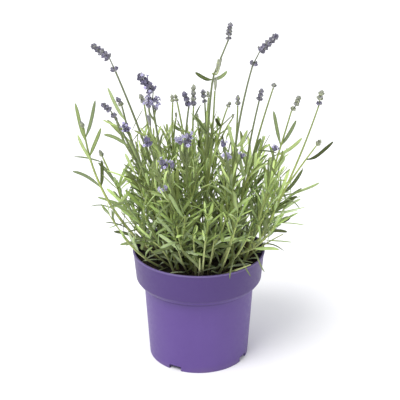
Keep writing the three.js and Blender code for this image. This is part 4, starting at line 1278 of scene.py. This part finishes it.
# ---- Soil ----
SOIL_SIDES = 132
SOIL_RINGS = 58
SOIL_EDGE = {"width": 5, "drop": 1.1}
CRUMBS = {"count": 620, "least": 0.5, "more": 1.5}  # mm
CRUMB_SIDES = 7
CRUMB_HEIGHTS = np.array([-0.8, -0.45, 0.1, 0.5, 0.78])  # in radii
FIBRES = {"count": 150, "length": (3, 9), "radius": (0.16, 0.34)}
FIBRE_SIDES = 5
FIBRE_STEPS = 5


def soil_height(x, y):
    lumps = sin(x * 0.21 + 1) * cos(y * 0.17) + 0.6 * sin(x * 0.09 - y * 0.13)
    spot = Vector((x, y, 0.0))
    grain = noise.fractal(spot * 0.22, 1.0, 2.0, 4) * 0.9
    clods = max(noise.noise(spot * 0.13 + Vector((7, 3, 1))), 0) * 1.5
    return SOIL_Z + SOIL_ROUGHNESS * lumps + grain + clods


def make_soil(material):
    fit = WALL + CLEARANCE
    angles = turns(SOIL_SIDES)
    rings = []
    for radius, z in (
        (2.0, FLOOR_Z + fit),
        (FOOT_RADIUS - fit - 0.2, FLOOR_Z + fit),
        (WAIST[0] - fit, WAIST[1]),
        (WAIST[0] - fit + 3.4, WAIST[1] + 4.2),
        (COLLAR_BOTTOM[0] - fit - 0.3, COLLAR_BOTTOM[1] + 0.6),
        (COLLAR_BOTTOM[0] - fit + 0.9, SOIL_Z - 2.4),
    ):
        rings.append([(radius * cos(a), radius * sin(a), z) for a in angles])
    for radius in SOIL_RADIUS * np.linspace(1, 0.012, SOIL_RINGS):
        sunk = SOIL_EDGE["drop"] * smooth((radius - SOIL_RADIUS + SOIL_EDGE["width"]) / SOIL_EDGE["width"])
        spots = [(radius * cos(a), radius * sin(a)) for a in angles]
        rings.append([(x, y, soil_height(x, y) - sunk) for x, y in spots])
    shape = Shape()
    shape.loft(np.array(rings), np.linspace(0, 1, len(rings)), 0.0, 0.4, 0.0)
    shape.to_piece("soil_fine", [material], "soil", "soil")


def soil_spot(draw, margin):
    radius = (SOIL_RADIUS - margin) * sqrt(draw(0, 1))
    angle = draw(0, 2 * pi)
    x, y = radius * cos(angle), radius * sin(angle)
    return vec(x, y, soil_height(x, y))


def make_crumbs(material):
    """Crumbs of bark and peat, and short fibres, half sunk in the soil."""
    shape = Shape()
    draw = Draw(4711)
    for _ in range(CRUMBS["count"]):
        spot = soil_spot(draw, 1.5)
        size = CRUMBS["least"] + CRUMBS["more"] * draw(0, 1) ** 3
        crumb(shape, spot + up(0.2 * size), size, draw)
    for _ in range(FIBRES["count"]):
        fibre(shape, soil_spot(draw, 4) + up(0.5), draw)
    shape.to_piece("soil_crumbs", [material], "soil")


def crumb(shape, centre, size, draw):
    jitter = np.array([[draw(0.7, 1.15) for _ in range(CRUMB_SIDES)] for _ in CRUMB_HEIGHTS])
    radii = size * np.sqrt(1 - CRUMB_HEIGHTS[:, None] ** 2) * jitter
    axis = unit(vec(draw(-0.5, 0.5), draw(-0.5, 0.5), 1))
    rings = turned_rings(centre, axis, CRUMB_HEIGHTS * size * draw(0.6, 0.95), radii, turns(CRUMB_SIDES))
    shape.loft(rings, CRUMB_HEIGHTS * 0.3 + 0.5, 0.0, draw(0, 1), draw(0, 1))


def fibre(shape, centre, draw):
    angle = draw(0, 2 * pi)
    along = heading(angle) + up(draw(-0.12, 0.2))
    side = heading(angle + pi / 2)
    length = draw(*FIBRES["length"])
    rings = []
    for s in np.linspace(-0.5, 0.5, FIBRE_STEPS):
        point = centre + along * length * s + side * draw(-0.5, 0.5)
        radii = np.full(FIBRE_SIDES, draw(*FIBRES["radius"]))
        rings.append(ring_at(point, frame_at(unit(along)), radii, turns(FIBRE_SIDES)))
    shape.loft(np.array(rings), np.linspace(0, 1, FIBRE_STEPS), 0.0, draw(0, 1), draw(0.3, 1))


# ---- Materials ----
def color(text):
    """#rrggbb as a linear colour."""
    parts = [int(text[k : k + 2], 16) / 255 for k in (1, 3, 5)]
    return [c / 12.92 if c <= 0.04045 else ((c + 0.055) / 1.055) ** 2.4 for c in parts] + [1.0]


class Nodes:
    """A node tree in the making: each method adds one node or a few and gives back the output."""

    def __init__(self, tree):
        self.tree = tree

    def add(self, kind, inputs=(), **settings):
        node = self.tree.nodes.new(kind)
        for key, value in settings.items():
            setattr(node, key, value)
        for key, value in dict(inputs).items():
            self.feed(node.inputs[key], value)
        return node

    def feed(self, socket, value):
        if isinstance(value, bpy.types.NodeSocket):
            self.tree.links.new(value, socket)
        else:
            socket.default_value = value

    def math(self, operation, a, b=0.0):
        return self.add("ShaderNodeMath", {0: a, 1: b}, operation=operation).outputs[0]

    def span(self, value, low, high, to_low=0.0, to_high=1.0, **settings):
        inputs = {"Value": value, "From Min": low, "From Max": high, "To Min": to_low, "To Max": to_high}
        return self.add("ShaderNodeMapRange", inputs, **settings).outputs["Result"]


class Finish(Nodes):
    """The node material of one finish."""

    def __init__(self, name, **shader):
        self.material = bpy.data.materials.new(name)
        self.material.use_nodes = True
        super().__init__(self.material.node_tree)
        self.shader = self.tree.nodes["Principled BSDF"]
        self.set(**shader)
        self.place = self.add("ShaderNodeTexCoord").outputs["Object"]

    def set(self, **sockets):
        for key, value in sockets.items():
            self.feed(self.shader.inputs[key.replace("_", " ")], value)

    def noise(self, scale, detail=3.0, roughness=0.55, stretch=(1, 1, 1)):
        place = self.add("ShaderNodeMapping", {"Vector": self.place, "Scale": stretch}).outputs[0]
        inputs = {"Vector": place, "Scale": scale, "Detail": detail, "Roughness": roughness}
        return self.add("ShaderNodeTexNoise", inputs).outputs["Fac"]

    def ramp(self, factor, stops):
        node = self.add("ShaderNodeValToRGB", {"Fac": factor})
        elements = node.color_ramp.elements
        while len(elements) < len(stops):
            elements.new(0.5)
        for element, (position, text) in zip(elements, stops):
            element.position = position
            element.color = color(text)
        return node.outputs["Color"]

    def mix(self, factor, a, b, blend="MIX"):
        node = self.add("ShaderNodeMix", {0: factor, 6: a, 7: b}, data_type="RGBA", blend_type=blend)
        return node.outputs[2]

    def layers(self, shade, *rows):
        """Lays colours over a shade: rows of a value, its span that brings the colour in, and the colour."""
        for value, span, text in rows:
            shade = self.mix(self.span(value, *span), shade, color(text))
        return shade

    def times(self, shade, red, green, blue):
        light = self.add("ShaderNodeCombineColor", {0: red, 1: green, 2: blue}).outputs[0]
        return self.mix(1.0, shade, light, "MULTIPLY")

    def tinted(self, shade, tint, low, high):
        value = self.span(tint, 0, 1, low, high)
        return self.times(shade, value, value, value)

    def look(self):
        """The four numbers of the mesh's look: along, across, tint and age."""
        look = self.add("ShaderNodeAttribute", attribute_name="look")
        parts = self.add("ShaderNodeSeparateColor", {"Color": look.outputs["Color"]})
        return (*parts.outputs[:3], look.outputs["Alpha"])

    def bump(self, height, distance, strength):
        inputs = {"Height": height, "Distance": distance, "Strength": strength}
        return self.add("ShaderNodeBump", inputs).outputs["Normal"]


def leaf_felt():
    """Grey felt over green: greyer by the soil, yellower at the top, paler below and along the groove; a
    random tint, darkened as painted shade deep in the crown, sets how light each leaf is.
    """
    finish = Finish("leaf_felt", Roughness=0.6, Sheen_Weight=0.08, Sheen_Roughness=0.4,
                    Specular_IOR_Level=0.35, Subsurface_Weight=0.08, Subsurface_Radius=(0.5, 0.8, 0.1),
                    Subsurface_Scale=0.001)
    along, across, tint, age = finish.look()
    by_age = finish.ramp(age, [(0, "#bcc4a6"), (0.2, "#a8b884"), (0.45, "#9fb860"), (0.72, "#bac97d"),
                               (0.85, "#7e8b56"), (1, "#59653c")])
    shade = finish.layers(
        by_age,
        (finish.noise(140.0), (0.4, 0.7, 0, 0.4), "#566d33"),
        (across, (-0.1, -0.6, 0, 0.45), "#a3ad8e"),
        (across, (0.7, 1, 0, 0.35), "#b4c27c"),
        (along, (0.2, 0, 0, 0.3), "#a3b25c"),
        (along, (0.9, 1, 0, 0.5), "#62703f"),
        (finish.math("FRACT", finish.math("MULTIPLY", tint, 7.3)), (0.5, 1, 0, 0.4), "#97a182"),
    )
    # The tint is random tone and painted shade together: low tints are darker and less blue, high ones
    # lighter and paler.
    bright = finish.mix(finish.span(age, 0.1, 0.5), color("#a4b08e"), color("#c3d08f"))
    shade = finish.mix(finish.span(tint, 0.55, 1.0, 0.0, 0.4), shade, bright)
    value = finish.span(tint, 0, 1, 0.35, finish.span(age, 0.05, 0.5, 1.34, 1.72))
    blue = finish.math("MINIMUM", value, finish.math("POWER", value, 1.4))
    shade = finish.times(shade, finish.math("MULTIPLY", value, 0.97), value, blue)
    finish.set(Base_Color=shade, Normal=finish.bump(finish.noise(2600.0, 2.0), 0.00008, 0.5))
    return finish.material


def stalk_skin():
    """Ribbed, downy stalks: woody brown at the soil, yellow-green higher up, grey-green under a spike, and
    coloured darker deep in the crown as painted shade.
    """
    finish = Finish("stalk_skin", Roughness=0.6, Sheen_Weight=0.15, Sheen_Roughness=0.5)
    height, painted_light, tint, old = finish.look()
    shifted = finish.math("ADD", height, finish.span(tint, 0, 1, -0.06, 0.06))
    young = [(0, "#8f8457"), (0.06, "#b0b878"), (0.35, "#b4c36b"), (0.55, "#8f9f58"), (1, "#8c9960")]
    gray_green = [(0.25, "#a9b76a"), (0.5, "#6d794a"), (1, "#6f775c")]
    skin = finish.mix(old, finish.ramp(shifted, young), finish.ramp(shifted, gray_green))
    skin = finish.layers(skin, (finish.noise(220.0), (0.4, 0.7, 0, 0.35), "#5f6b3c"))
    # Painted shade: darker, and less blue, deep in the crown.
    value = finish.span(painted_light, 0, 1, 0.3, 1.0)
    skin = finish.times(skin, value, value, finish.math("POWER", value, 1.5))
    finish.set(Base_Color=skin, Normal=finish.bump(finish.noise(1500.0), 0.0001, 0.4))
    return finish.material


def calyx_felt():
    """Ribbed calyces: grey-green in bud, grey-violet to deep violet when ripe, darker at the mouth, with
    painted shade in the rib valleys and pale speckles of down with a painted sheen.
    """
    finish = Finish("calyx_felt", Roughness=0.7, Sheen_Weight=0.3, Sheen_Roughness=0.5)
    along, rib, tint, ripe = finish.look()
    bud = finish.ramp(along, [(0, "#b5c084"), (0.6, "#a9b184"), (1, "#989e84")])
    dull = finish.ramp(along, [(0, "#9c9b8e"), (0.45, "#85828f"), (1, "#5c576e")])
    deep = finish.ramp(along, [(0, "#7f7e90"), (0.4, "#625d80"), (1, "#443d69")])
    shade = finish.mix(finish.span(ripe, 0.1, 0.5), bud, dull)
    shade = finish.mix(finish.span(ripe, 0.55, 0.95), shade, deep)
    # Pale speckles: the grey down, partly a painted sheen.
    down = (finish.noise(500.0), (0.4, 0.75, 0, 0.35), "#c0bec8")
    # Painted shade: the rib valleys darker.
    shade = finish.layers(shade, (rib, (0, -RIB_DEPTH, 0, 0.4), "#46434f"), down)
    shade = finish.tinted(shade, tint, 0.5, 1.4)
    finish.set(Base_Color=shade, Normal=finish.bump(finish.noise(3000.0, 2.0), 0.0001, 0.6))
    return finish.material


def petal():
    finish = Finish("petal", Roughness=0.55, Sheen_Weight=0.2, Subsurface_Weight=0.15,
                    Subsurface_Radius=(0.4, 0.3, 0.8), Subsurface_Scale=0.001)
    along, lobe, tint, _ = finish.look()
    vein = finish.noise(900.0, 3.0)
    shade = finish.layers(
        # Painted light: the ramp is lightest at the lobes' rim as a painted highlight, and darkest down the
        # throat as painted shade.
        finish.ramp(along, [(0, "#9592aa"), (0.5, "#c2bfd4"), (0.8, "#aeaaca"), (1, "#756e9e")]),
        (vein, (0.45, 0.7, 0, 0.4), "#918bb8"),
        (lobe, (0.6, 1, 0, 0.3), "#dbd9e6"),
    )
    finish.set(Base_Color=finish.tinted(shade, tint, 0.7, 1.3), Normal=finish.bump(vein, 0.0001, 0.5))
    return finish.material


def pot_plastic():
    """Moulded purple polypropylene: satin, very finely grained, with faint scuffs and a little soil dust,
    painted shade on the collar and under its step, and a painted highlight along the lip.
    """
    finish = Finish("pot_plastic", IOR=1.49)
    height, _, _, _ = finish.look()
    cloud = finish.noise(18.0, 4.0)
    # Painted shadow: a thin dark band just under the collar's step.
    from_painted_step_shadow = finish.math("ABSOLUTE", finish.math("SUBTRACT", height, 0.69))
    base = finish.layers(
        finish.mix(finish.span(cloud, 0.3, 0.7), color("#593f87"), color("#5e448d")),
        (height, (0.69, 0.745, 0, 0.62), "#351b5d"),  # painted shade: the collar darker than the wall below
        (from_painted_step_shadow, (0.022, 0.004, 0, 0.5), "#2c1d4a"),
        (height, (0.985, 0.995, 0, 0.35), "#9c8ec2"),  # painted highlight along the lip
        (finish.noise(60.0, 6.0, 0.7, (1, 1, 0.12)), (0.66, 0.8, 0, 0.22), "#8673a8"),  # scuffs
    )
    dust = finish.math("MULTIPLY", finish.span(height, 0.06, 0.0, 0.0, 0.3), finish.span(cloud, 0.4, 0.6))
    base = finish.mix(dust, base, color("#7c6f78"))
    rough = finish.span(finish.noise(240.0, 3.0), 0.3, 0.7, 0.38, 0.5)
    finish.set(Base_Color=base, Roughness=rough, Normal=finish.bump(finish.noise(1900.0, 2.0), 0.00003, 0.35))
    return finish.material


def potting_soil():
    finish = Finish("potting_soil", Roughness=0.95)
    _, _, tint, pale = finish.look()
    grain = finish.noise(420.0, 6.0, 0.7)
    base = finish.layers(
        finish.ramp(grain, [(0.3, "#17110d"), (0.5, "#2a1e16"), (0.66, "#42311f"), (0.85, "#5b4630")]),
        (finish.noise(90.0, 4.0), (0.4, 0.65, 0, 0.6), "#1b1410"),
        (pale, (0.72, 1, 0, 0.55), "#6a5238"),
    )
    finish.set(Base_Color=finish.tinted(base, tint, 0.75, 1.3), Normal=finish.bump(grain, 0.0006, 0.8))
    return finish.material


def studio_floor():
    finish = Finish("studio_floor", Roughness=0.7)
    finish.set(Base_Color=finish.mix(finish.noise(3.0, 2.0), color("#fbfbfc"), color("#f8f8fa")))
    return finish.material


# ---- The pieces ----
FOLIAGE_GROUPS = 6
RIM_HEIGHT = 12  # mm above the soil: the tip of a leaf that hangs over the rim is lower


def make_stems(plants, materials):
    for plant in plants:
        draw = Draw(1201 + 29 * plant.node)
        shape = Shape()
        fine_stalk(shape, plant.stalk, 26, draw, plant.pair_shares(), old=smooth((plant.ripe[1] - 0.2) / 0.3))
        if plant.shoot:
            fine_stalk(shape, plant.shoot, 14, draw, SHOOT_LEAVES_AT)
        for side_shoot in plant.side_shoots:
            fine_stalk(shape, side_shoot, 10, draw)
        for leaf, height in plant.leading:
            if height < RIM_HEIGHT:
                hook(leaf)
            fine_leaf(shape, leaf, draw(0, 0.1) if height < RIM_HEIGHT else draw(0.86, 1.0), draw, FULL_BLADE)
        for leaf, height in plant.leaves:
            fine_leaf(shape, leaf, leaf_age(height, draw), draw, FULL_BLADE)
        for leaf, height in plant.grown + plant.side_leaves:
            fine_leaf(shape, leaf, leaf_age(height, draw), draw)
        shape.to_piece("stem_fine_" + plant.name, materials, "foliage", "stem_" + plant.name)


def make_spikes(plants, materials):
    for plant in plants:
        fine_spike(plant).to_piece("spike_fine_" + plant.name, materials, "flower", "spike_" + plant.name)


def make_young_shoots(shoots, materials):
    for group in range(FOLIAGE_GROUPS):
        draw = Draw(8101 + group)
        shape = Shape()
        for shoot in shoots[group::FOLIAGE_GROUPS]:
            if shoot.stalk:
                fine_stalk(shape, shoot.stalk, 16, draw)
            for leaf, height in shoot.leaves:
                fine_leaf(shape, leaf, leaf_age(height, draw), draw)
        shape.to_piece(f"young_shoots_{group + 1}", materials, "foliage")


def make_old_leaves(leaves, materials):
    draw = Draw(6007)
    shape = Shape()
    for leaf, _ in leaves:
        fine_leaf(shape, leaf, draw(0, 0.25), draw, FULL_BLADE)
    shape.to_piece("old_leaves", materials, "foliage")


# ---- Studio ----
CAMERA = {"place": (0.0012, -0.8107, 0.4793), "pitch": 21.32, "lens": 81.0, "sensor": 36.0}
SUN = {"direction": (0.42, 0.47, -1.0), "spread": 34, "strength": 2.2, "color": (1.0, 0.99, 0.97)}
SKY = {"horizon": 0.4, "zenith": 0.95, "color": (0.975, 0.985, 1.015, 1)}
FLOOR_HALF = 30.0  # m


def make_camera():
    data = bpy.data.cameras.new("camera")
    data.lens = CAMERA["lens"]
    data.sensor_width = CAMERA["sensor"]
    camera = object_of(data, "camera")
    camera.location = CAMERA["place"]
    camera.rotation_euler = (radians(90 - CAMERA["pitch"]), 0, 0)
    bpy.context.scene.camera = camera


def make_sun():
    data = bpy.data.lights.new("key", "SUN")
    data.angle = radians(SUN["spread"])
    data.energy = SUN["strength"]
    data.color = SUN["color"]
    object_of(data, "key").rotation_euler = Vector(SUN["direction"]).to_track_quat("-Z", "Y").to_euler()


def make_sky():
    """A white tent: dim at the horizon, bright overhead."""
    world = bpy.data.worlds.new("tent")
    world.use_nodes = True
    nodes = Nodes(world.node_tree)
    direction = nodes.add("ShaderNodeTexCoord").outputs["Generated"]
    rise = nodes.add("ShaderNodeSeparateXYZ", {0: direction}).outputs["Z"]
    strength = nodes.span(rise, -0.05, 0.9, SKY["horizon"], SKY["zenith"], interpolation_type="SMOOTHSTEP")
    background = nodes.tree.nodes["Background"]
    background.inputs["Color"].default_value = SKY["color"]
    nodes.feed(background.inputs["Strength"], strength)
    bpy.context.scene.world = world


def make_floor():
    mesh = bpy.data.meshes.new("floor")
    corners = [(x * FLOOR_HALF, y * FLOOR_HALF, 0) for x, y in ((-1, -1), (1, -1), (1, 1), (-1, 1))]
    mesh.from_pydata(corners, [], [(0, 1, 2, 3)])
    object_of(mesh, "floor", [studio_floor()])


def main():
    plants = place_plants()
    for plant in plants:
        grow_between(plant)
    for plant in plants:
        grow_side_shoots(plant)
    shoots = [YoungShoot(k) for k in range(YOUNG_SHOOTS)]
    for shoot in shoots:
        shoot.place()
    old = place_old_leaves(plants)
    leaf, stalk, soil = leaf_felt(), stalk_skin(), potting_soil()
    flower = [calyx_felt(), petal(), leaf, stalk]
    make_pot()
    make_soil(soil)
    make_crumbs(soil)
    make_stems(plants, [leaf, stalk])
    make_spikes(plants, flower)
    make_slim_buds(plants, flower)
    make_young_shoots(shoots, [leaf, stalk])
    make_old_leaves(old, [leaf])
    make_floor()
    make_sun()
    make_sky()
    make_camera()
    bpy.context.scene.view_settings.view_transform = "Standard"


main()
